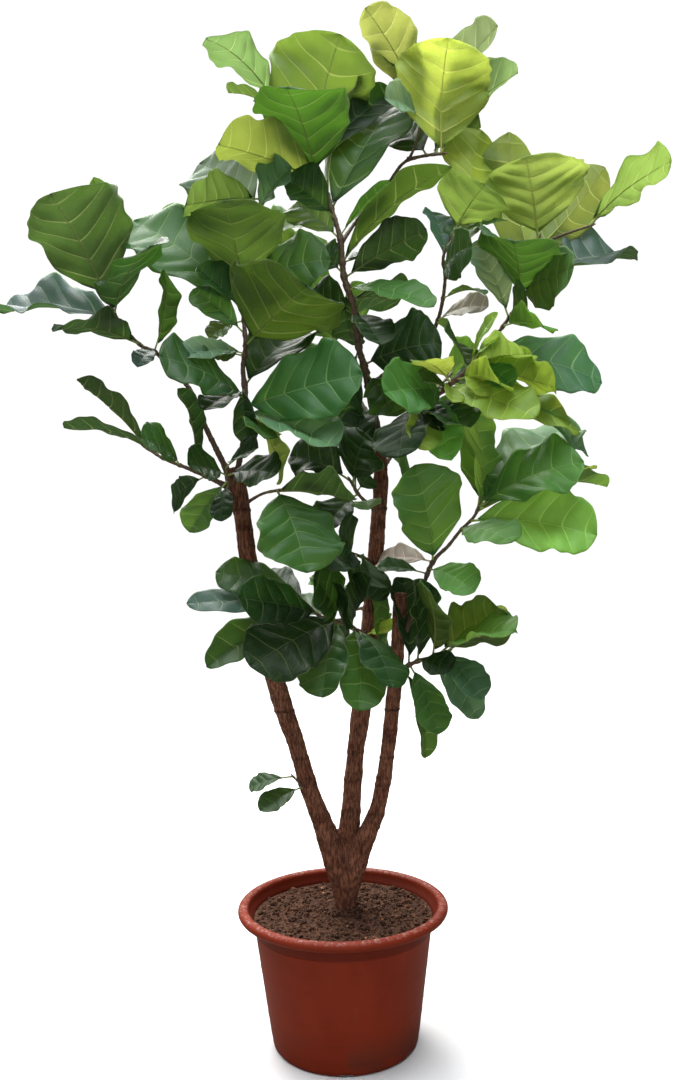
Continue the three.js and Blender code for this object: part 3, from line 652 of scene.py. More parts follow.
def soil_height(radius):
    """Height of the ground at a distance from the axis, before it is roughened."""
    radii = (0.0, 0.032, 0.050, 0.100, 0.150, SOIL_RADIUS)
    return np.interp(radius, radii, (0.286, 0.285, 0.282, 0.276, 0.273, 0.268))


def ground_bumps(points):
    """Height that the crumbly ground adds at each point: broad waves, clods and grains."""
    flat = points * (1, 1, 0)
    waves = 0.0022 * lumps(flat, 0.045, seed=11)
    clods = 0.0028 * np.maximum(lumps(flat, 0.011, seed=12), -0.3)
    grains = 0.0011 * lumps(flat, 0.0042, seed=13)
    return waves + clods + grains


def roughen_soil(rings):
    """Adds the bumps to the top, fading at the wall so that the soil stays inside the pot."""
    radius = np.hypot(rings[..., 0], rings[..., 1])
    top = np.arange(rings.shape[0])[:, None] >= rings.shape[0] - SOIL_RINGS
    fade = np.clip((SOIL_RADIUS - radius) / 0.004, 0.35, 1)
    rings[..., 2] += np.where(top, ground_bumps(rings) * fade, 0)
    return rings


top_radii = np.linspace(SOIL_RADIUS, 0.004, SOIL_RINGS)
side = [(0.05, 0.0045), (0.10, 0.0045), (0.149, 0.0045), (0.1515, 0.0100), (0.168, 0.130)]
side += [(0.1846, 0.2460), (0.1880, 0.2560), (0.1908, 0.2660)]
soil_outline = np.vstack([side, np.stack([top_radii, soil_height(top_radii)], 1)])
ground = turned_shell(soil_outline, SOIL_TURNS, roughen_soil)
make_piece("soil_ground", [ground], SOIL, "soil")

# %% Crumbs
CRUMB_COUNT = 1500
CRUMB_SEED = 5
PALE_SHARE = 0.05
NEIGHBOUR_GAP = 1.2
GOLDEN = (1 + 5**0.5) / 2
ICOSAHEDRON = np.array(
    [(a, b * GOLDEN, 0) for a in (-1, 1) for b in (-1, 1)]
    + [(0, a, b * GOLDEN) for a in (-1, 1) for b in (-1, 1)]
    + [(b * GOLDEN, 0, a) for a in (-1, 1) for b in (-1, 1)]
)
ICOSAHEDRON /= np.linalg.norm(ICOSAHEDRON[0])


def hull_faces(corners):
    """The triangles between corners on a ball of radius 1: all trios no two of which are further
    apart than NEIGHBOUR_GAP, turned to face outwards."""
    gaps = np.linalg.norm(corners[:, None] - corners[None], axis=-1)
    near = (gaps > 0) & (gaps < NEIGHBOUR_GAP)
    count = len(corners)
    a, b, c = np.meshgrid(*[np.arange(count)] * 3, indexing="ij")
    trio = (a < b) & (b < c) & near[a, b] & near[b, c] & near[a, c]
    faces = np.stack([a[trio], b[trio], c[trio]], -1)
    sides = corners[faces]
    outward = np.cross(sides[:, 1] - sides[:, 0], sides[:, 2] - sides[:, 0])
    flip = np.sum(outward * sides.mean(1), -1) < 0
    faces[flip] = faces[flip][:, ::-1]
    return faces


def scattered_crumbs(count, seed):
    """Small lumps strewn over the ground. Each is a twenty-sided ball, stretched differently along
    each axis, dented at its corners, turned at random and sunk a little."""
    rng = np.random.default_rng(seed)
    radius = SOIL_RADIUS * np.sqrt(rng.uniform(0.028, 0.93, count))
    angle = rng.uniform(0, 2 * np.pi, count)
    size = rng.gamma(3.0, 0.00062, count) + 0.0009
    stretch = rng.uniform(0.6, 1.5, (count, 1, 3))
    dents = rng.uniform(0.75, 1.2, (count, 12, 1))
    turns = np.linalg.qr(rng.normal(size=(count, 3, 3)))[0]
    turns *= np.linalg.det(turns)[:, None, None]
    balls = np.einsum("nij,nkj->nki", turns, ICOSAHEDRON * stretch * dents) * size[:, None, None]
    centres = np.stack([radius * np.cos(angle), radius * np.sin(angle), soil_height(radius)], -1)
    centres[:, 2] += ground_bumps(centres) + 0.25 * size
    points = balls + centres[:, None]
    faces = hull_faces(ICOSAHEDRON)[None] + 12 * np.arange(count)[:, None, None]
    shade = rng.uniform(0.6, 2.1, (count, 1, 1)) * np.ones((1, 12, 3))
    pale = rng.uniform(size=count) < PALE_SHARE
    shade[pale] *= (2.6, 2.5, 2.3)
    return Shell(points, np.empty((0, 4)), faces, tint=shade.reshape(-1, 3))


make_piece("soil_crumbs", [scattered_crumbs(CRUMB_COUNT, CRUMB_SEED)], SOIL)

# %% [markdown]
# ## The trunk
#
# Three limbs leave one short butt. Each limb is a round profile carried along a smooth path, with
# its radius given at every point of the path. Where they meet, a real tree has no seams, so a
# voxel remesh fuses the three tubes into one skin, and the crotch is smoothed. The bark's fibres,
# upright cracks, knobs and rings of old leaf scars are then added along the skin's normals. The
# limbs could also be sculpted, but the numbers keep them where the frame has them.

# %% Limbs
# Each row is x, y, z and radius in millimetres, read and converted as the boughs' points below are.
LIMBS = {
    "left": [
        (2, 0, 262, 22), (3, 0, 305, 22), (-3, 0, 340, 26), (-19, -4, 405, 28),
        (-43, -12, 475, 21), (-67, -22, 545, 19), (-90, -30, 635, 18), (-118, -38, 725, 20),
        (-133, -42, 780, 20), (-157, -50, 905, 19), (-182, -56, 1030, 19),
        (-192, -58, 1120, 18), (-205, -58, 1195, 20), (-217, -56, 1225, 16),
    ],
    "centre": [
        (3, 1, 262, 22), (5, 2, 305, 22), (8, 4, 340, 26), (13, 8, 410, 25), (22, 12, 495, 21),
        (33, 18, 600, 18), (48, 24, 700, 21), (69, 36, 860, 19), (88, 45, 1035, 18),
        (94, 45, 1100, 17), (103, 40, 1215, 16), (98, 30, 1290, 13),
    ],
    "right": [
        (7, -1, 262, 22), (9, -2, 305, 22), (18, -8, 340, 24), (45, -18, 420, 22),
        (79, -28, 505, 17), (100, -40, 615, 15), (117, -55, 760, 15), (127, -62, 860, 14),
        (133, -70, 960, 14),
    ],
}


def tube_rings(points, radii, spacing, sides, swell=None):
    """Rings of points along a smooth path, `spacing` apart. The radius runs straight from each
    path point's to the next, times what `swell` gives for the shares of the length."""
    length = length_parameters(points, [1])[1]
    shares = np.linspace(0, 1, max(8, int(length / spacing)) + 1)
    t = length_parameters(points, shares)[0]
    centres = smooth_path(points, t)
    radius = np.interp(t * (len(points) - 1), np.arange(len(points)), radii)
    if swell is not None:
        radius = radius * swell(shares, length)
    right, forward = ring_frames(centres)
    angle = np.arange(sides) / sides * 2 * np.pi
    spokes = np.cos(angle)[:, None] * right[:, None] + np.sin(angle)[:, None] * forward[:, None]
    return centres[:, None] + radius[:, None, None] * spokes, shares


LIMB_SPACING = 0.006
LIMB_SIDES = 40

limb_tables = [np.array(rows, float) * MM for rows in LIMBS.values()]
limb_shells = [
    tube_shell(tube_rings(rows[:, :3], rows[:, 3], LIMB_SPACING, LIMB_SIDES)[0]) for rows in limb_tables
]
tubes = make_piece("trunk_bark", limb_shells, BARK, "trunk")


# %% Fuse the limbs
SKIN_VOXEL = 0.0024
CROTCH_TOP = 0.46
CROTCH_FADE = 0.05


def fused(piece, voxel):
    """The piece's mesh after a voxel remesh, as points, squares and the pairs of points joined by
    an edge."""
    remesh = piece.modifiers.new("fuse", "REMESH")
    remesh.mode = "VOXEL"
    remesh.voxel_size = voxel
    graph = bpy.context.evaluated_depsgraph_get()
    skin = piece.evaluated_get(graph).to_mesh()
    points = np.empty(len(skin.vertices) * 3)
    skin.vertices.foreach_get("co", points)
    corners = np.empty(len(skin.loops), int)
    skin.loops.foreach_get("vertex_index", corners)
    sizes = np.empty(len(skin.polygons), int)
    skin.polygons.foreach_get("loop_total", sizes)
    edges = np.empty(len(skin.edges) * 2, int)
    skin.edges.foreach_get("vertices", edges)
    starts = np.cumsum(sizes) - sizes
    squares = corners[starts[sizes == 4][:, None] + np.arange(4)]
    triangles = corners[starts[sizes == 3][:, None] + np.arange(3)]
    piece.modifiers.remove(remesh)
    return points.reshape(-1, 3), squares, triangles, edges.reshape(-1, 2)


def smoothed(points, edges, share, rounds):
    """Moves each point part of the way to the mean of its neighbours, several times over."""
    for _ in range(rounds):
        total = np.zeros_like(points)
        np.add.at(total, edges[:, 0], points[edges[:, 1]])
        np.add.at(total, edges[:, 1], points[edges[:, 0]])
        count = np.bincount(edges.ravel(), minlength=len(points))[:, None]
        points = points + share * (total / np.maximum(count, 1) - points)
    return points


def point_normals(points, squares, triangles):
    """The mean direction of the faces round each point."""
    total = np.zeros_like(points)
    for faces in (squares, triangles):
        if len(faces):
            diagonal = points[faces[:, 2]] - points[faces[:, 0]]
            side = np.cross(diagonal, points[faces[:, -1]] - points[faces[:, 1]])
            for k in range(faces.shape[1]):
                np.add.at(total, faces[:, k], side)
    return unit(total)


def limb_places(points):
    """Each point's offset from the nearest limb's middle at its own height, and its height. The
    bark's pattern is laid out in these, so that its fibres lean with the limb."""
    offsets = []
    for rows in limb_tables:
        middle = smooth_path(rows[:, :3], np.linspace(0, 1, 300))
        x = np.interp(points[:, 2], middle[:, 2], middle[:, 0])
        y = np.interp(points[:, 2], middle[:, 2], middle[:, 1])
        offsets.append(np.stack([points[:, 0] - x, points[:, 1] - y], -1))
    offsets = np.array(offsets)
    nearest = np.linalg.norm(offsets, axis=-1).argmin(0)
    chosen = offsets[nearest, np.arange(len(points))]
    return np.column_stack([chosen, points[:, 2]])


skin_points, skin_squares, skin_triangles, skin_edges = fused(tubes, SKIN_VOXEL)
above_crotch = np.clip((skin_points[:, 2:] - CROTCH_TOP) / CROTCH_FADE, 0, 1)
gentle = smoothed(skin_points, skin_edges, 0.5, 3)
strong = smoothed(skin_points, skin_edges, 0.6, 26)
skin_points = gentle * above_crotch + strong * (1 - above_crotch)
print("fused skin:", len(skin_points), "points")

# %% Bark relief
FIBRE_HEIGHT = 0.0007
CRACK_DEPTH = 0.0011
KNOB_HEIGHT = 0.0011
SCAR_HEIGHT = 0.0022

fibre_places = limb_places(skin_points)
valleys = 1 - 2 * np.abs(lumps(fibre_places * (1, 1, 0.22), 0.0048, seed=21))
cracks = np.maximum(valleys, 0) ** 3
fibres = lumps(fibre_places * (1, 1, 0.3), 0.003, seed=22)
knobs = lumps(fibre_places * (1, 1, 0.6), 0.017, seed=23)
scars = np.maximum(lumps(fibre_places * (0.12, 0.12, 1), 0.0085, seed=24), 0) ** 2
relief = FIBRE_HEIGHT * fibres - CRACK_DEPTH * cracks + KNOB_HEIGHT * knobs + SCAR_HEIGHT * scars
normals = point_normals(skin_points, skin_squares, skin_triangles)
skin_points = skin_points + normals * relief[:, None]
print("bark relief, mm:", np.round(np.percentile(relief, (1, 99)) / MM, 2).tolist())

# %% The trunk's skin
# The tint darkens the cracks and the rings of old leaf scars, and the limbs as they rise.
shade = 0.95 + 0.18 * knobs - 0.3 * cracks - 0.5 * scars
height_share = np.clip((skin_points[:, 2:] - 0.3) / 0.9, 0, 1)
shade = shade[:, None] * (1.08 - 0.25 * height_share) * np.ones(3)
skin = Shell(skin_points, skin_squares, skin_triangles, tint=shade)
bpy.data.objects.remove(tubes)
make_piece("trunk_bark", [skin], BARK, "trunk")

# %% [markdown]
# ## Leaves
#
# A fiddle leaf is broad above the middle, narrow at the waist and a little heart-shaped at its
# base. It folds up along the midrib, its edges wave, and between the side veins the blade swells
# like a quilt. It could be a flat cut-out with a bump map, but the outline against the white
# background and the gloss on the swellings are what one sees first, so both are in the mesh.
#
# A blade is a grid. One parameter runs across it from edge to edge. The other runs along it, and
# its rows slant forward as the side veins do, so that each vein lies along a row: the rows close
# to it make the ridge on the underside and the crease on top.

# %% The leaf's rows and columns
# ROW_STEPS are the places of the ten rows round each side vein, in shares of the veins' spacing.
COLUMNS = 21
WIDEST = 0.64
ROW_STEPS = (-0.5, -0.38, -0.26, -0.15, -0.06, 0.0, 0.06, 0.15, 0.26, 0.38)


def blade_outline(v):
    """Half the blade's width at a share v of its length, as a share of the widest half. Below the
    widest place it is one flattened arc and above it another, and the lower one has a faint waist
    and a small swelling above the stalk."""
    v = np.clip(v, 0, 1)
    below = (1 - np.clip((WIDEST - v) / WIDEST, 0, 1) ** 2.0) ** 0.8
    above = (1 - np.clip((v - WIDEST) / (1 - WIDEST), 0, 1) ** 2.5) ** 0.6
    waist = 1 - 0.07 * np.exp(-(((v - 0.3) / 0.12) ** 2))
    return below * above * waist + 0.06 * np.exp(-(((v - 0.05) / 0.05) ** 2))


def vein_rows(count):
    """The shares of the length at which the rows start, at each side vein and around it."""
    middles = (np.arange(count) + 0.5) / count
    return np.append((middles[:, None] + np.array(ROW_STEPS) / count).ravel(), 1.0)


# %% [markdown]
# ### Tones
#
# The leaves of one plant differ: old ones are darker, new growth is brighter, and a few are dry.
# Each leaf's tone was matched to how light or dark it looks, so the tones also paint in light and
# shade. The dark tone is partly painted shade inside the crown. The yellow, gold and young tones are
# partly a painted glow of leaves lit by the sky, most of them high up, on top of the light that
# really comes through them. The bright tone is painted light on leaves at the front, and the
# bluish, pale and teal tones are painted reflections of the sky on glossy upper sides.
# A tone is the colour of the upper side, of the underside, and of the light that comes through,
# as linear red, green and blue. Each leaf then varies its tone a little.

# %% Tones
# Several tones paint in light and shade: the dark one partly shade, the yellow, gold and young ones
# partly glow, the bright one light, and the bluish, pale and teal ones the sky's reflection.
TONES = {
    "yellow": ((0.10, 0.25, 0.06), (0.23, 0.33, 0.07), (0.75, 0.82, 0.34)),
    "lime": ((0.080, 0.20, 0.05), (0.16, 0.26, 0.06), (0.54, 0.66, 0.25)),
    "green": ((0.030, 0.105, 0.036), (0.065, 0.140, 0.030), (0.34, 0.48, 0.15)),
    "dark": ((0.012, 0.043, 0.014), (0.026, 0.064, 0.018), (0.18, 0.30, 0.10)),
    "olive": ((0.036, 0.095, 0.032), (0.066, 0.105, 0.045), (0.26, 0.35, 0.14)),
    "fresh": ((0.045, 0.160, 0.050), (0.10, 0.21, 0.045), (0.46, 0.66, 0.20)),
    "vivid": ((0.11, 0.32, 0.075), (0.17, 0.34, 0.065), (0.52, 0.75, 0.23)),
    "young": ((0.20, 0.38, 0.06), (0.29, 0.42, 0.07), (0.84, 0.90, 0.31)),
    "bluish": ((0.085, 0.15, 0.16), (0.07, 0.13, 0.06), (0.24, 0.38, 0.17)),
    "mid": ((0.060, 0.165, 0.050), (0.13, 0.215, 0.050), (0.46, 0.58, 0.23)),
    "pale": ((0.15, 0.31, 0.19), (0.21, 0.33, 0.13), (0.56, 0.67, 0.40)),
    "teal": ((0.12, 0.29, 0.19), (0.14, 0.24, 0.10), (0.40, 0.58, 0.30)),
    "bright": ((0.21, 0.54, 0.12), (0.28, 0.45, 0.09), (0.62, 0.82, 0.28)),
    "gold": ((0.26, 0.46, 0.07), (0.36, 0.40, 0.08), (0.84, 0.84, 0.30)),
    "dry": ((0.55, 0.53, 0.48), (0.56, 0.53, 0.48), (0.60, 0.58, 0.54)),
}
print("tones:", len(TONES))

# %% [markdown]
# ### One leaf
#
# A leaf grows along a middle line that arches, curls, sways and twists. The blade is laid out to
# both sides of that line and thickened into a closed shell. The stalk is a tube that runs on under
# the blade as its midrib. One leaf could be modelled by hand and copied, but copies look alike at
# once on so large a leaf. Here each has a number that seeds its own draws, the same in every run.

# %% The middle line
LEAF_ARCH = 0.075
CURL_START = 0.6


class MiddleLine:
    """The line from a leaf's root to its tip. It arches to the upper side by a share of its length,
    curls past CURL_START, sways to one side, and turns the blade about itself on the way."""

    def __init__(self, root, tip, face, rng):
        self.root = root
        self.chord = tip - root
        self.length = np.linalg.norm(self.chord)
        self.along = self.chord / self.length
        self.above = unit(face - np.dot(face, self.along) * self.along)
        self.across = np.cross(self.along, self.above)
        self.twist, self.bow, self.curl, self.lean = rng.uniform(-1, 1, 4)

    def at(self, t):
        """The points at shares t of the way, the upward directions there, and the sideways ones."""
        t = np.asarray(t)[..., None]
        late = np.clip(t - CURL_START, 0, 1)
        rise = 4 * LEAF_ARCH * self.length * t * (1 - t) + 0.25 * self.curl * self.length * late**2
        slope = 4 * LEAF_ARCH * (1 - 2 * t) + 0.5 * self.curl * late
        sway = 0.03 * self.bow * self.length * 4 * t * (1 - t)
        points = self.root + t * self.chord + rise * self.above + sway * self.across
        up = unit(self.above - slope * self.along)
        turn = 0.22 * self.twist * (t - 0.4)
        sideways = self.across * np.cos(turn) + up * np.sin(turn)
        return points, up * np.cos(turn) - self.across * np.sin(turn), sideways


# %% The blade's surface
VEIN_LENGTHS = (0.16, 0.30)
VEIN_SLANT = 0.60
FOLD_DEGREES = 14
FOLD_SPREAD_DEGREES = 10
WAVE_HEIGHT = 0.13
WAVE_WIDTHS = (0.06, 0.14)
WAVES_PER_SIDE = 2.3
RIPPLE_HEIGHT = 0.03
SWELLING_HEIGHT = 0.022
GOLDEN_STEP = 0.618034


def blade_surface(line, width, number, start, rng):
    """The blade as a grid of points, with their normals and their places on it.

    q runs across it from -1 to 1, w is the row's share where it meets the midrib, and v is the
    share of the length that it has reached at q. From the middle line the blade reaches sideways
    by its outline, with lobes beside the stalk. It lifts by the fold, by waves and ripples that
    grow towards the edge, and by the swellings between the side veins. Narrow leaves wave less,
    and those longer than each of VEIN_LENGTHS have one pair of side veins more."""
    veins = 4 + sum(line.length >= length for length in VEIN_LENGTHS)
    w, q = np.meshgrid(vein_rows(veins), np.linspace(-1, 1, COLUMNS), indexing="ij")
    aside = np.abs(q)
    slant = VEIN_SLANT * min(width / line.length, 0.9) * (1 - w) * (1 - np.exp(-w / 0.13))
    stagger = 0.03 * np.sin(np.pi * w) * np.tanh(6 * q)
    v = np.clip(w + slant * (0.9 * aside + 0.25 * q**2) + stagger, 0, 1)
    lobes = 0.055 * np.sin(np.pi * aside**0.8) * (1 - w) ** 5
    half = 0.5 * width * (blade_outline(v) * (1 + 0.06 * line.lean * q) + 0.012)
    points, up, sideways = line.at(start + (1 - start) * (v - lobes))

    fold = math.radians(FOLD_DEGREES + FOLD_SPREAD_DEGREES * math.sin(2.4 * number))
    fold = fold * (1 + rng.uniform(-0.6, 0.6) * np.tanh(3 * q))
    phase = (GOLDEN_STEP * number) % 1 + np.where(q < 0, 0.37, 0)
    wave_height = WAVE_HEIGHT * np.interp(width, WAVE_WIDTHS, (0.5, 1.0))
    wave = wave_height * (0.6 + 0.8 * v) * np.sin(2 * np.pi * (WAVES_PER_SIDE * v + phase))
    ripple = RIPPLE_HEIGHT * np.sin(2 * np.pi * (5.3 * v + 2.7 * phase))
    cupped = np.sqrt(q**2 + 0.012) - 0.11
    to_vein = np.abs((w * veins) % 1 - 0.5)
    swelling = SWELLING_HEIGHT * width * np.sin(np.pi * to_vein) ** 1.5 * np.sin(np.pi * aside**0.8)
    lift = half * (cupped * np.sin(fold) + aside**1.6 * wave + aside**3 * ripple) + swelling
    scallop = 1 + 0.025 * aside**5 * np.cos(2 * np.pi * (w * veins - 0.5))
    reach = q * half * scallop * np.cos(fold)
    blade = points + reach[..., None] * sideways + lift[..., None] * up

    normal = unit(np.cross(np.gradient(blade, axis=1), np.gradient(blade, axis=0)))
    normal *= np.sign(np.sum(normal * up))
    return blade, normal, np.stack([q, v, w * veins], -1)


# %% The blade as a closed shell
HALF_THICKNESS = 0.0006
EDGE_THINNING = 0.00035
RIDGE_HEIGHT = 0.008
RIDGE_WIDTH = 0.06
CREASE_SHARE = 0.35


def blade_squares(rows):
    """The squares of the upper grid, those of the lower one turned over, and a band of squares
    that joins the two round the rim."""
    squares = grid_squares(rows, COLUMNS)
    count = rows * COLUMNS
    index = np.arange(count).reshape(rows, COLUMNS)
    rim = np.concatenate([index[0, :-1], index[:-1, -1], index[-1, :0:-1], index[:0:-1, 0]])
    band = np.stack([rim, np.roll(rim, -1), np.roll(rim, -1) + count, rim + count], -1)
    return np.vstack([squares, squares[:, ::-1] + count, band[:, ::-1]])


def blade_shell(blade, normal, place, width, top_tint, under_tint, through):
    """Thickens the surface both ways along its normals, and less towards the edge. The side veins
    stand out as ridges on the underside and are shallow creases on top."""
    rows = len(blade)
    aside = np.abs(place[..., 0])
    to_vein = np.abs(place[..., 2] % 1 - 0.5)
    thick = HALF_THICKNESS - EDGE_THINNING * aside**3
    ridge = np.clip(1 - to_vein / RIDGE_WIDTH, 0, 1) * (1 - aside) ** 0.6 * RIDGE_HEIGHT * width
    upper = blade + (thick - CREASE_SHARE * ridge)[..., None] * normal
    under = blade - (thick + ridge)[..., None] * normal
    points = np.vstack([upper.reshape(-1, 3), under.reshape(-1, 3)])
    squares = blade_squares(rows)
    corner = points[squares[(rows - 1) * (COLUMNS - 1) // 2]]
    outward = np.cross(corner[1] - corner[0], corner[2] - corner[0])
    if np.dot(outward, normal[rows // 2, COLUMNS // 2]) < 0:
        squares = squares[:, ::-1]
    tint = np.repeat([top_tint, under_tint], rows * COLUMNS, 0)
    place = np.tile(place.reshape(-1, 3), (2, 1))
    return Shell(points, squares, tint=tint, through=through, place=place)


# %% The stalk and the midrib
STALK_LENGTH = 0.028
STALK_RINGS = 7
MIDRIB_RINGS = 26
MIDRIB_END = 0.985
RIB_SIDES = 10
RIB_SUNK = 0.55
RIB_RADII = (3.1, 2.3, 2.3, 1.3, 0.5)


def rib_shell(line, width, start, tint, through):
    """One tube, thickest where it leaves the stem. Past the share `start` it hangs half under the
    blade, thins out and stops just short of the tip."""
    midrib = np.linspace(start, MIDRIB_END, MIDRIB_RINGS)
    t = np.concatenate([np.linspace(0, start, STALK_RINGS), midrib[1:]])
    centre, up, sideways = line.at(t)
    radius = np.interp(t, (0, 0.4 * start, start, 0.6, 1), RIB_RADII) * MM
    radius = radius * min(1, 0.6 + width / 0.4)
    drop = np.clip(t / start, 0, 1) * RIB_SUNK * radius
    centre = centre - drop[:, None] * up
    angle = np.arange(RIB_SIDES) / RIB_SIDES * 2 * np.pi
    spokes = np.cos(angle)[:, None] * sideways[:, None] + np.sin(angle)[:, None] * up[:, None]
    rings = centre[:, None] + radius[:, None, None] * spokes
    inside = np.clip((t - start) / (1 - start), 0, 1)
    place = np.stack([0 * t, inside * 0.9, 0 * t], -1)
    return tube_shell(rings, tint=tint, through=through, place=place)


# %% One leaf
FIRST_LEAF_SEED = 100


def leaf_shells(root, tip, face, width, tone, number):
    """A blade, and its stalk with the midrib, as two closed shells. The blade starts where the
    stalk ends, and no later than 0.3 of the way."""
    rng = np.random.default_rng(FIRST_LEAF_SEED + number)
    line = MiddleLine(root, tip, face, rng)
    start = min(STALK_LENGTH / line.length, 0.3)
    blade, normal, place = blade_surface(line, width, number, start, rng)
    vary = rng.uniform(0.93, 1.07, 3) * rng.uniform(0.82, 1.14)
    # The tone's colours carry its painted light or shade along with the leaf's own colour.
    top_tint, under_tint, through = (np.array(colour) * vary for colour in TONES[tone])
    rib_tint = np.array(TONES[tone][1]) * 0.6 + np.array((0.06, 0.09, 0.02))
    return [
        blade_shell(blade, normal, place, width, top_tint, under_tint, through),
        rib_shell(line, width, start, rib_tint, 0.5 * through),
    ]


# %% [markdown]
# ## Boughs
#
# A bough is one or more stems and the leaves that grow from them, in about the same place as its
# solid in the frame. Each leaf is given by the place along the stem where it grows, where its tip
# is, which way its upper side faces, its width and its tone. The points were read off the
# photograph by eye, in pixels with a guessed depth. A separate script, which isn't part of this
# file, turned them through the camera into the millimetres below and worked out most of the places
# and facings. The boughs at the back, which the photograph doesn't show, are guessed. Leaves could
# be strewn over the stems by a rule instead, but then no cluster and no gap of this plant would be
# where it is.

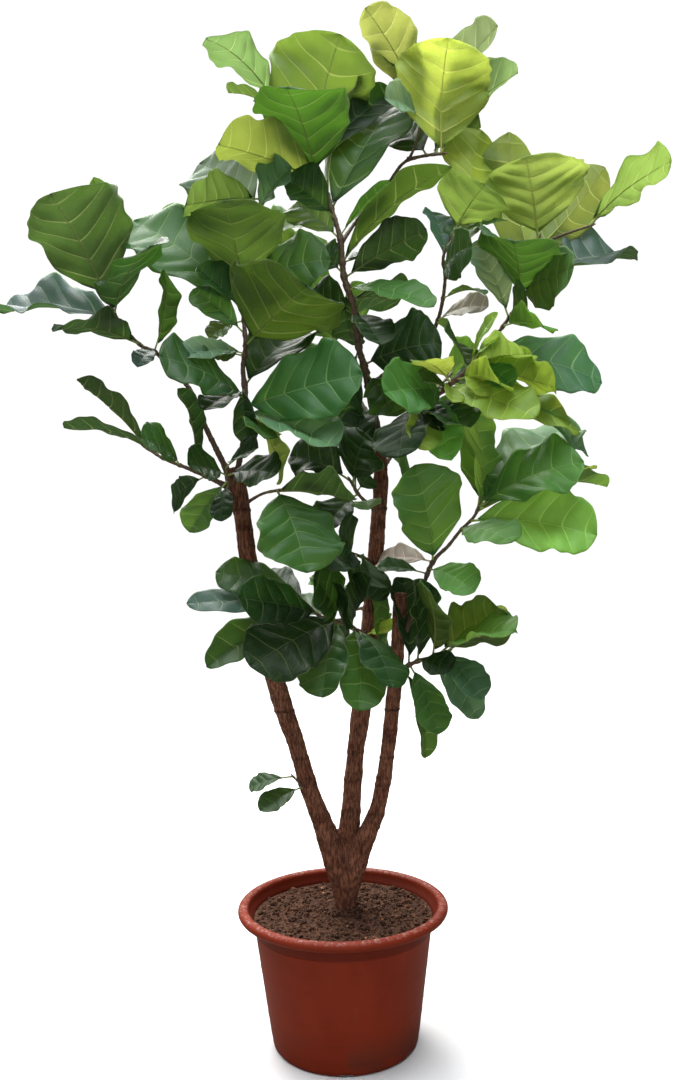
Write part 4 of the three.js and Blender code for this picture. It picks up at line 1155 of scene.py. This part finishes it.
# %% Where the boughs and leaves are
# Millimetres. A stem is its radius at the root and at the tip, and the points it grows through.
# A leaf is place, tip, face, width and tone. A place of 1.4 is on the second stem, at 0.4 of it.
BOUGHS = {
    "bough_left_high": {
        "stems": [
            ((6, 3), [
                (-220, -55, 1215), (-265, -50, 1310), (-300, -30, 1395), (-350, 0, 1455),
                (-385, 20, 1490), (-420, 40, 1510), (-470, 50, 1570), (-490, 50, 1615),
            ]),
        ],
        "leaves": [
            (0.99, (-585, -40, 1815), (0.1, 0.9, 0.4), 248, "olive"),
            (0.98, (-535, 110, 1910), (0.3, 0.9, -0.2), 80, "green"),
            (0.93, (-345, -190, 1645), (-0.6, 0, 0.8), 165, "dark"),
            (0.89, (-725, 60, 1595), (0.1, -0.42, 0.9), 195, "bluish"),
            (0.75, (-550, -120, 1515), (-0.1, 0.1, 1), 140, "dark"),
            (0.66, (-335, -90, 1635), (0.85, 0.45, 0.2), 100, "green"),
            (0.66, (-400, -90, 1440), (0, -0.4, 0.9), 50, "bluish"),
        ],
    },
    "bough_left_mid": {
        "stems": [
            ((6, 3), [
                (-205, -55, 1205), (-180, -80, 1320), (-180, -80, 1385), (-185, -65, 1435),
                (-180, -50, 1485), (-185, -30, 1565), (-180, -10, 1635), (-160, 5, 1735),
                (-145, 15, 1815),
            ]),
        ],
        "leaves": [
            (0.60, (-435, 85, 1795), (0.3, -0.9, 0.35), 190, "fresh"),
            (0.78, (-390, 150, 1805), (0.7, 0.2, 0.7), 125, "pale"),
            (1.00, (-285, -120, 1755), (-0.1, 0.6, 0.8), 125, "mid"),
            (0.97, (-290, 130, 1935), (0.1, -0.95, 0.2), 170, "pale"),
            (0.93, (-75, -60, 1855), (-0.5, -0.8, 0.3), 130, "pale"),
            (0.66, (-210, -140, 1755), (0.3, 0.7, 0.6), 208, "mid"),
            (0.46, (-45, -170, 1575), (0, 0.6, 0.8), 265, "green"),
            (0.31, (-55, 60, 1530), (0, -0.7, 0.7), 160, "dark"),
            (0.26, (-330, -230, 1430), (0.7, -0.5, 0.5), 140, "green"),
            (0.43, (-300, -180, 1435), (0.2, -0.8, 0.5), 65, "pale"),
            (0.29, (-250, -190, 1330), (-0.3, -0.8, 0.4), 72, "dark"),
            (0.24, (60, -170, 1400), (-0.4, -0.9, 0.3), 175, "fresh"),
            (0.22, (10, -190, 1250), (-0.1, -0.7, 0.7), 130, "pale"),
            (0.24, (-100, -170, 1195), (0.9, 0.3, 0.3), 115, "yellow"),
            (0.20, (-135, -190, 1270), (0.4, -0.3, 0.9), 85, "fresh"),
            (0.83, (-25, 110, 1795), (0, -0.8, 0.6), 125, "mid"),
            (0.66, (0, -110, 1645), (-0.5, -0.8, 0.3), 140, "green"),
        ],
    },
    "bough_left_low": {
        "stems": [
            ((5, 2.5), [
                (-225, -60, 1190), (-285, -80, 1220), (-355, -60, 1250), (-395, -45, 1275),
            ]),
        ],
        "leaves": [
            (0.98, (-525, -110, 1405), (0.6, 0.5, 0.7), 105, "dark"),
            (0.76, (-595, 60, 1335), (0.2, 0.2, 0.95), 85, "dark"),
            (0.55, (-370, -200, 1280), (0.9, -0.3, 0.3), 90, "green"),
            (0.36, (-315, -95, 1390), (0.9, 0.4, 0.1), 85, "dark"),
            (0.24, (-360, 60, 1160), (0.1, -0.9, 0.3), 75, "dark"),
        ],
    },
    "shoot_left_limb": {
        "stems": [
            ((4, 2.5), [
                (-215, -65, 1190), (-220, -90, 1210), (-220, -105, 1225),
            ]),
        ],
        "leaves": [
            (0.59, (-290, -170, 1225), (0.6, -0.4, 0.6), 95, "dark"),
            (0.35, (-295, -120, 1095), (-0.3, -0.8, 0.5), 80, "fresh"),
            (0.59, (-110, -180, 1205), (-0.4, -0.5, 0.7), 95, "dark"),
            (1.00, (-145, -180, 1255), (-0.7, -0.5, 0.6), 80, "dark"),
            (0.22, (-225, -150, 1115), (-0.3, -0.8, 0.4), 50, "dark"),
        ],
    },
    "twig_left_inner": {
        "stems": [
            ((3.5, 2.5), [
                (-190, -58, 1150), (-145, -110, 1170), (-115, -130, 1175),
            ]),
        ],
        "leaves": [
            (1.00, (-55, -240, 1010), (0.3, -0.7, 0.6), 175, "fresh"),
            (0.85, (40, -170, 1145), (0.2, 0.4, 0.9), 135, "olive"),
        ],
    },
    "leader": {
        "stems": [
            ((9, 3), [
                (99, 32, 1265), (95, 25, 1320), (85, 15, 1365), (70, 0, 1445), (60, -5, 1480),
                (50, -15, 1570), (30, -20, 1635), (25, -20, 1710), (10, -10, 1770),
                (-5, 0, 1825), (-40, 10, 1880), (-75, 30, 1960), (-110, 50, 2035),
            ]),
        ],
        "leaves": [
            (1.00, (-245, -60, 2130), (0.4, 0.2, 0.9), 138, "pale"),
            (0.94, (-225, 150, 2110), (0.5, -0.3, 0.8), 80, "mid"),
            (0.77, (35, -30, 2145), (-0.4, 0.9, 0.3), 240, "lime"),
            (0.75, (-75, -170, 1970), (0.2, 0.4, 0.9), 205, "green"),
            (0.73, (-220, -110, 1880), (0.1, 0.5, 0.85), 160, "yellow"),
            (0.65, (165, 110, 2070), (-0.3, -0.8, 0.5), 175, "green"),
            (0.69, (85, 60, 2095), (-0.9, -0.3, 0.3), 95, "pale"),
            (0.50, (250, -140, 1815), (-0.5, 0.3, 0.8), 100, "green"),
            (0.57, (125, -110, 1805), (-0.5, 0.4, 0.7), 40, "green"),
            (0.46, (205, -70, 1710), (-0.2, 0.6, 0.8), 115, "dark"),
            (0.43, (205, -170, 1530), (-0.3, -0.5, 0.8), 88, "vivid"),
            (0.40, (155, 150, 1610), (-0.3, 0, 0.9), 140, "dark"),
            (0.36, (100, -150, 1455), (0.3, -0.85, 0.4), 95, "dark"),
            (0.23, (230, -60, 1480), (-0.4, -0.85, 0.35), 165, "dark"),
            (0.21, (135, -30, 1330), (0.4, -0.8, 0.5), 160, "green"),
        ],
    },
    "bough_top_right": {
        "stems": [
            ((4.5, 2.5), [
                (25, -20, 1705), (75, 60, 1795), (125, 50, 1845), (160, 40, 1890),
                (180, 30, 1905), (200, 20, 1955), (205, 20, 2000),
            ]),
            ((3.5, 2.5), [
                (175, 30, 1900), (215, 10, 1900), (245, -10, 1895),
            ]),
        ],
        "leaves": [
            (1.00, (85, -20, 2205), (0.6, 0.6, 0.5), 130, "yellow"),
            (0.99, (120, 130, 2190), (0.6, -0.5, 0.6), 115, "green"),
            (0.96, (125, -60, 1995), (0.7, -0.6, 0.3), 85, "pale"),
            (2.00, (260, -40, 2125), (-0.2, 1, 0.1), 212, "gold"),
            (1.85, (390, 120, 2235), (-0.9, 0.4, 0.2), 140, "pale"),
            (1.97, (430, 130, 2135), (-0.8, 0.3, 0.6), 150, "pale"),
            (1.55, (160, 190, 2045), (-0.15, -1, -0.05), 150, "dark"),
            (1.75, (360, 170, 2025), (-0.8, 0, 0.6), 105, "green"),
        ],
    },
    "bough_right_mid": {
        "stems": [
            ((5, 2.5), [
                (75, 10, 1400), (140, 60, 1455), (210, 75, 1505), (235, 55, 1550),
                (245, 30, 1590), (250, 15, 1640), (245, 0, 1675), (255, -10, 1700),
                (280, -20, 1745), (305, -25, 1785),
            ]),
        ],
        "leaves": [
            (0.84, (325, -80, 1800), (0, 0.4, 0.9), 175, "yellow"),
            (1.00, (345, 90, 1985), (-0.5, 0.8, -0.3), 140, "young"),
            (0.72, (230, 60, 1795), (0.5, -0.85, 0.2), 90, "bluish"),
            (0.68, (285, -180, 1645), (-0.9, -0.5, 0.1), 100, "green"),
            (0.58, (305, -170, 1550), (0.2, -0.1, 1), 40, "green"),
            (0.48, (330, -60, 1555), (-0.6, -0.4, 0.7), 65, "dry"),
        ],
    },
    "bough_right_high": {
        "stems": [
            ((6.5, 3), [
                (100, 35, 1250), (135, -10, 1300), (165, -50, 1340), (225, -75, 1375),
                (245, -85, 1390), (280, -90, 1415), (315, -75, 1460), (355, -50, 1505),
                (400, -20, 1570), (430, 0, 1645), (450, 0, 1705),
            ]),
            ((3.5, 2.5), [
                (445, 0, 1695), (500, -10, 1715), (555, -20, 1730),
            ]),
        ],
        "leaves": [
            (2.00, (730, -40, 1855), (-0.4, 0.3, 0.8), 160, "lime"),
            (0.86, (645, 100, 1695), (0, -0.8, 0.6), 250, "bluish"),
            (1.00, (415, -60, 1865), (0.5, 0.8, 0.3), 225, "yellow"),
            (0.97, (630, 100, 1905), (-0.4, 0.9, -0.3), 120, "yellow"),
            (0.78, (365, -175, 1650), (0.6, 0.4, 0.7), 210, "green"),
            (0.82, (485, -180, 1595), (-0.3, -0.95, 0.1), 125, "fresh"),
            (0.66, (415, -200, 1475), (0.5, 0.1, 0.9), 95, "vivid"),
            (0.44, (255, 10, 1505), (0.7, -0.4, 0.6), 140, "mid"),
            (0.46, (330, -170, 1515), (-0.9, -0.2, 0.3), 45, "young"),
            (0.46, (370, -230, 1415), (0.4, 0.3, 0.8), 110, "yellow"),
            (0.52, (560, -80, 1390), (0.1, -0.8, 0.5), 140, "teal"),
            (0.45, (435, -190, 1355), (0.5, 0.1, 0.9), 140, "young"),
            (0.34, (100, -200, 1355), (0.6, -0.6, 0.5), 125, "vivid"),
            (0.22, (125, -220, 1235), (-0.4, -0.75, 0.5), 118, "dark"),
            (0.24, (270, -190, 1280), (-0.2, -0.5, 0.9), 115, "green"),
            (0.38, (180, -200, 1415), (0.1, 0.1, 1), 85, "young"),
            (0.35, (385, -250, 1295), (-0.3, -0.6, 0.7), 115, "gold"),
            (0.40, (320, -250, 1360), (0.6, 0.1, 0.8), 95, "young"),
            (0.42, (500, -110, 1275), (0.3, -0.6, 0.7), 125, "gold"),
            (0.36, (175, -190, 1375), (0.5, -0.4, 0.8), 60, "green"),
        ],
    },
    "bough_right_low": {
        "stems": [
            ((5, 2.5), [
                (135, -65, 860), (165, -95, 935), (200, -105, 1025), (230, -110, 1055),
                (255, -110, 1085), (285, -110, 1115), (300, -100, 1145),
            ]),
        ],
        "leaves": [
            (0.53, (160, -190, 1215), (0.4, -0.9, -0.3), 158, "fresh"),
            (0.94, (295, -20, 1350), (0.8, -0.5, 0.2), 150, "bright"),
            (1.00, (350, 30, 1345), (-0.8, 0.6, -0.2), 125, "fresh"),
            (1.00, (520, 60, 1305), (-0.3, -0.5, 0.8), 180, "pale"),
            (0.96, (495, -170, 1215), (-0.5, -0.6, 0.7), 160, "vivid"),
            (0.86, (510, -200, 1065), (-0.2, -0.85, 0.5), 160, "bright"),
            (0.79, (330, -270, 1065), (-0.3, -0.3, 0.9), 105, "vivid"),
            (0.93, (580, -20, 1185), (-0.2, -0.1, 1), 120, "vivid"),
            (0.48, (265, -240, 965), (-0.4, -0.4, 0.9), 80, "vivid"),
            (0.53, (80, 40, 1015), (-0.2, -0.7, 0.7), 80, "dry"),
        ],
    },
    "bough_low_right": {
        "stems": [
            ((4.5, 2.5), [
                (125, -55, 795), (165, -95, 820), (195, -110, 830), (220, -120, 840),
            ]),
        ],
        "leaves": [
            (0.48, (150, -160, 990), (0.8, -0.5, -0.1), 115, "dark"),
            (0.76, (170, -230, 975), (0.9, 0.3, 0.4), 115, "mid"),
            (0.90, (360, -60, 915), (-0.6, 0.5, 0.6), 55, "yellow"),
            (1.00, (335, -250, 895), (-0.5, -0.2, 0.9), 140, "vivid"),
            (0.86, (335, -180, 920), (-0.1, 0.7, 0.7), 170, "green"),
            (0.97, (275, -230, 765), (0.1, -0.9, 0.4), 75, "teal"),
            (0.76, (275, -180, 715), (0.3, -0.8, 0.5), 80, "teal"),
            (0.30, (195, -160, 680), (0.4, -0.7, 0.6), 80, "fresh"),
            (0.16, (180, -90, 620), (0.7, -0.7, 0.2), 65, "green"),
        ],
    },
    "bough_low_front": {
        "stems": [
            ((5, 2.5), [
                (70, 35, 860), (45, 0, 875), (25, -30, 890), (5, -50, 900), (-35, -75, 915),
                (-65, -90, 945),
            ]),
        ],
        "leaves": [
            (1.00, (-245, -110, 1010), (0.3, -0.7, 0.6), 100, "green"),
            (0.98, (-165, 90, 990), (0.1, -0.7, 0.6), 90, "dark"),
            (0.82, (-195, -210, 960), (0.6, -0.6, 0.5), 105, "dark"),
            (0.92, (-300, -150, 945), (0.2, -0.6, 0.8), 75, "bluish"),
            (0.74, (-265, -130, 825), (-0.1, -0.5, 0.9), 100, "green"),
            (0.58, (-170, -220, 830), (0.15, -0.8, 0.5), 150, "dark"),
            (0.54, (-30, -190, 765), (-0.3, -0.6, 0.8), 115, "green"),
            (0.34, (40, -190, 740), (0.5, -0.6, 0.7), 115, "fresh"),
            (0.22, (105, -180, 780), (0.4, -0.3, 0.9), 105, "green"),
            (0.34, (70, -150, 995), (-1, -0.3, 0), 80, "dark"),
            (0.61, (-40, -180, 1000), (0.9, -0.4, -0.1), 125, "dark"),
            (0.46, (30, -160, 960), (-0.9, -0.2, -0.3), 105, "dark"),
        ],
    },
    "twig_centre_front": {
        "stems": [
            ((4.5, 2.5), [
                (95, 40, 1130), (70, 0, 1150), (50, -30, 1170), (35, -55, 1195),
            ]),
        ],
        "leaves": [
            (1.00, (-90, -60, 1250), (0.3, -0.6, 0.7), 160, "dark"),
            (0.91, (70, -100, 1290), (-0.8, -0.6, -0.1), 160, "dark"),
            (0.70, (-20, -90, 1095), (-0.4, -0.85, 0.3), 100, "dark"),
            (0.44, (70, -100, 1130), (-0.1, -0.2, 1), 65, "fresh"),
        ],
    },
    "twig_centre_low": {
        "stems": [
            ((4, 2.5), [
                (85, 40, 1020), (55, 0, 1035), (30, -20, 1045),
            ]),
        ],
        "leaves": [
            (0.94, (-40, -180, 1030), (0.5, -0.3, 0.8), 125, "dark"),
            (0.62, (65, -120, 975), (0.8, -0.2, 0.6), 95, "green"),
            (1.00, (5, -160, 1090), (1, -0.2, -0.1), 105, "dark"),
        ],
    },
    "sprout_low_left": {
        "stems": [
            ((3, 2), [
                (-70, -20, 540), (-82, -42, 556), (-98, -62, 580),
            ]),
        ],
        "leaves": [
            (1.00, (-190, -60, 555), (-0.3, -0.3, 0.9), 58, "green"),
            (0.35, (-165, -110, 522), (0.2, -0.3, 0.9), 56, "green"),
        ],
    },
    "bough_back_left": {
        "stems": [
            ((6, 3), [
                (95, 30, 1315), (40, 140, 1430), (-15, 240, 1565), (-65, 310, 1670),
            ]),
        ],
        "leaves": [
            (1.00, (-175, 420, 1825), (0.8, 0.6, 0.1), 180, "green"),
            (0.96, (0, 450, 1860), (-0.8, 0.6, -0.1), 180, "green"),
            (0.90, (-190, 460, 1630), (-0.6, -0.5, 0.6), 180, "green"),
            (0.72, (100, 450, 1675), (-0.8, 0.1, 0.6), 180, "green"),
            (0.50, (-80, 330, 1460), (-0.7, -0.4, 0.6), 170, "green"),
            (0.57, (10, 180, 1635), (-0.8, 0.6, 0.1), 160, "green"),
        ],
    },
    "bough_back_right": {
        "stems": [
            ((6, 3), [
                (105, 40, 1225), (155, 150, 1300), (220, 250, 1395), (290, 320, 1475),
            ]),
        ],
        "leaves": [
            (1.00, (390, 480, 1550), (-0.9, 0.4, 0.1), 130, "green"),
            (0.95, (460, 440, 1430), (0.6, -0.6, 0.6), 180, "green"),
            (0.87, (185, 400, 1555), (0.9, 0.3, 0.3), 180, "green"),
            (0.70, (370, 380, 1320), (0.7, -0.5, 0.5), 170, "green"),
            (0.50, (165, 340, 1245), (-1, -0.2, -0.2), 160, "green"),
        ],
    },
    "bough_back_low": {
        "stems": [
            ((4.5, 2.5), [
                (80, 40, 940), (75, 150, 920), (30, 230, 900),
            ]),
        ],
        "leaves": [
            (1.00, (-120, 330, 890), (-0.3, -0.3, 0.9), 160, "green"),
            (0.95, (15, 370, 765), (-0.9, -0.4, -0.3), 160, "green"),
            (0.76, (115, 300, 800), (0.9, -0.4, 0.2), 150, "green"),
            (0.95, (-20, 380, 945), (0.3, -0.2, 0.9), 150, "green"),
        ],
    },
}
print("boughs:", len(BOUGHS))

# %% Smaller leaves
# The solids leave these out. They grow on the stems of the same boughs and fill the crown.
SMALL_LEAVES = {
    "bough_left_mid": [
        (0.32, (-165, -120, 1270), (-0.5, -0.6, 0.5), 60, "dark"),
        (0.42, (-250, -100, 1465), (0.1, -0.8, 0.5), 60, "green"),
        (0.58, (-280, -60, 1645), (0.2, -0.8, 0.6), 100, "green"),
        (0.50, (-290, -40, 1605), (0.2, -0.85, 0.5), 78, "fresh"),
        (0.55, (-255, -60, 1500), (0, -0.6, 0.7), 70, "mid"),
    ],
    "leader": [
        (0.62, (-85, -60, 1830), (-0.3, -0.8, 0.4), 115, "green"),
        (0.44, (45, 70, 1505), (-0.3, -0.7, 0.3), 95, "dark"),
        (0.50, (130, 90, 1695), (-0.5, -0.6, 0.5), 90, "dark"),
        (0.28, (40, 60, 1325), (-0.4, -0.8, 0.3), 95, "dark"),
        (0.94, (-160, 40, 2035), (0.3, -0.4, 0.8), 70, "mid"),
        (0.80, (150, 120, 2090), (-0.3, -1, 0), 90, "dark"),
        (0.47, (-25, -30, 1685), (-0.2, -0.7, 0.5), 95, "dark"),
        (0.56, (-70, 20, 1805), (-0.1, -0.7, 0.5), 110, "mid"),
        (0.36, (-40, 40, 1615), (-0.2, -0.8, 0.3), 95, "dark"),
    ],
    "bough_right_mid": [
        (0.84, (375, -60, 1730), (-0.2, -0.4, 0.9), 60, "green"),
        (0.72, (330, 60, 1785), (-0.3, -0.85, 0.3), 105, "mid"),
    ],
    "bough_right_high": [
        (0.70, (315, -30, 1700), (0.3, -0.9, 0.2), 100, "pale"),
        (0.28, (165, -200, 1240), (0.3, -0.7, 0.5), 75, "young"),
        (0.32, (235, -180, 1220), (-0.4, -0.7, 0.4), 85, "vivid"),
        (0.42, (505, -60, 1300), (-0.2, -0.4, 0.9), 95, "vivid"),
        (0.40, (545, -20, 1245), (-0.1, -0.6, 0.8), 110, "pale"),
        (0.30, (215, -150, 1285), (0.2, -0.6, 0.8), 90, "dark"),
        (0.72, (405, -90, 1560), (-0.3, -0.9, 0.2), 100, "mid"),
        (0.92, (405, 70, 1980), (0.1, 0.9, 0.3), 150, "yellow"),
        (0.43, (300, -190, 1345), (0.2, -0.8, 0.5), 55, "young"),
        (0.50, (355, -180, 1365), (-0.3, -0.7, 0.6), 60, "vivid"),
        (0.36, (230, -210, 1330), (0.4, -0.8, 0.3), 50, "gold"),
        (0.47, (330, -200, 1460), (-0.4, -0.6, 0.6), 50, "gold"),
    ],
    "bough_right_low": [
        (0.95, (550, -60, 1205), (-0.3, -0.4, 0.9), 90, "young"),
        (0.45, (85, -100, 1015), (0, -0.6, 0.8), 50, "green"),
        (0.97, (350, -90, 1195), (-0.3, -0.8, 0.4), 60, "vivid"),
    ],
    "twig_centre_front": [
        (0.80, (65, 20, 1355), (-0.3, -0.8, 0.4), 95, "dark"),
        (0.75, (75, -20, 1210), (0.5, -0.8, 0.3), 60, "dark"),
    ],
    "twig_centre_low": [
        (0.30, (85, -20, 855), (0.6, -0.7, 0.1), 50, "green"),
        (0.50, (105, -60, 945), (-0.3, -0.8, 0.2), 60, "dark"),
        (0.80, (30, -120, 980), (0.6, -0.7, 0.2), 70, "dark"),
    ],
    "bough_low_right": [
        (0.28, (140, -20, 990), (0.5, -0.7, 0.3), 90, "dark"),
        (0.50, (225, -200, 820), (0.1, -0.9, 0.4), 60, "dark"),
    ],
    "bough_low_front": [
        (0.06, (130, -60, 895), (-0.3, -0.8, 0.4), 34, "young"),
    ],
}
print("smaller leaves:", sum(len(rows) for rows in SMALL_LEAVES.values()))

# %% [markdown]
# ### Wood of the boughs
#
# A young fig stem is brown and rough, thickens a little at every leaf, keeps the ring of each old
# leaf's scar, and ends in pointed buds wrapped in papery brown sheaths. The stem is a tube again.
# The rings are humps in its radius, and the two buds are short thin tubes on its end.


# %% A stem's surface
RING_SPACING = 0.003
STEM_SIDES = 14
SCAR_GAPS = (0.012, 0.024)
SCAR_HUMP, SCAR_LENGTH, SCAR_LIMIT = 0.16, 0.0016, 0.2
LEAF_HUMP, LEAF_LENGTH, LEAF_LIMIT = 0.3, 0.005, 0.4
COLLAR, COLLAR_LENGTH = 0.7, 0.012
OLD_WOOD = np.array((0.105, 0.06, 0.037))
YOUNG_WOOD = np.array((0.15, 0.13, 0.06))


def humps(run, places, height, length, limit):
    """The sum of bell-shaped humps at the given places, and `limit` where it would be more."""
    bells = np.exp(-(((run[:, None] - places) / length) ** 2))
    return np.minimum(height * bells.sum(1), limit)


def stem_swell(run, length, leaf_shares, seed, rng):
    """Times the plain radius at each distance `run` along a stem: a grain of noise, a collar where
    it leaves its parent, a hump for each leaf, and a small one for each old scar."""
    scars = np.cumsum(rng.uniform(*SCAR_GAPS, 60))
    scars = scars[scars < length]
    rings = humps(run, scars, SCAR_HUMP, SCAR_LENGTH, SCAR_LIMIT)
    leaves = humps(run, np.array(leaf_shares) * length, LEAF_HUMP, LEAF_LENGTH, LEAF_LIMIT)
    collar = COLLAR * np.exp(-run / COLLAR_LENGTH)
    grain = 0.07 * lumps(np.column_stack([run, 0 * run, 0 * run]) + seed, 0.009, seed)
    return 1 + rings + leaves + collar + grain


# %% The bud at a stem's end
BUD_RINGS = 9
BUD_SIDES = 8
BUD_SIZES = (1.0, 0.75)
BUD_LENGTH = 0.022
BUD_STEM_RADIUS = 3
BUD_TINT = (0.16, 0.085, 0.045)


def bud_shells(tip, ahead, stem_radius, rng):
    """A pointed bud and a smaller one that leans off it. Each is a tube, flattened a little, whose
    radius follows a sine from shortly before its crest down to zero. A bud grows with its stem, and
    is BUD_LENGTH long on one of BUD_STEM_RADIUS millimetres."""
    share = np.linspace(0, 1, BUD_RINGS)
    angle = np.arange(BUD_SIDES) / BUD_SIDES * 2 * np.pi
    shells = []
    for k, size in enumerate(BUD_SIZES):
        aim = unit(ahead + (0.35 * k) * unit(rng.normal(size=3)))
        side = unit(np.cross(aim, (0.3, 1.0, 0.1)))
        front = np.cross(aim, side)
        spokes = np.cos(angle)[:, None] * side + 0.7 * np.sin(angle)[:, None] * front
        length = BUD_LENGTH * size * stem_radius / BUD_STEM_RADIUS
        radius = stem_radius * MM * size * (1.15 * np.sin(np.pi * (0.35 + 0.65 * share)) ** 0.9 + 0.03)
        middle = tip - 0.002 * aim + share[:, None] * length * aim
        rings = middle[:, None] + radius[:, None, None] * spokes
        shells.append(tube_shell(rings, tint=BUD_TINT))
    return shells


# %% One stem
def stem_shells(path, radii, leaf_shares, seed):
    """A stem along a path in metres, with radii in millimetres at its two ends, and its buds."""
    rng = np.random.default_rng(seed)
    ends = np.linspace(radii[0], radii[1], len(path)) * MM

    def swell(shares, length):
        """What tube_rings multiplies the radius by."""
        return stem_swell(shares * length, length, leaf_shares, seed, rng)

    rings, shares = tube_rings(path, ends, RING_SPACING, STEM_SIDES, swell)
    rough = 1 + 0.05 * lumps(rings, 0.004, seed)
    centre = rings.mean(1, keepdims=True)
    rings = centre + (rings - centre) * rough[..., None]
    blend = np.clip(shares * 1.3 - 0.35, 0, 1)[:, None] ** 1.5
    tint = (OLD_WOOD + (YOUNG_WOOD - OLD_WOOD) * blend) * rng.uniform(0.85, 1.15)
    ahead = unit(centre[-1, 0] - centre[-4, 0])
    return [tube_shell(rings, tint=tint)] + bud_shells(centre[-1, 0], ahead, radii[1], rng)


# %% Grow the boughs
# A leaf's number seeds its draws. The smaller leaves count from FIRST_SMALL, so that the larger
# ones keep their numbers, and their looks, when one is added.
FIRST_SMALL = 200
numbers = itertools.count()
small_numbers = itertools.count(FIRST_SMALL)
for seed, (name, bough) in enumerate(BOUGHS.items()):
    paths = [np.array(path, float) * MM for _, path in bough["stems"]]
    leaves, shares = [], [[] for _ in paths]
    rows = [(next(numbers), *row) for row in bough["leaves"]]
    rows += [(next(small_numbers), *row) for row in SMALL_LEAVES.get(name, [])]
    for number, place, tip, face, width, tone in rows:
        which = max(0, math.ceil(place) - 1)
        share = place - which
        t = length_parameters(paths[which], [share])[0]
        root = smooth_path(paths[which], t)[0]
        tip, face = np.array(tip, float) * MM, np.array(face, float)
        leaves += leaf_shells(root, tip, face, width * MM, tone, number)
        shares[which].append(share)
    wood = []
    for k, (radii, _) in enumerate(bough["stems"]):
        wood += stem_shells(paths[k], radii, shares[k], 10 * seed + k)
    make_piece(name + "_wood", wood, TWIG, name)
    make_piece(name + "_leaves", leaves, LEAF, name)
print("leaves:", next(numbers) + next(small_numbers) - FIRST_SMALL)
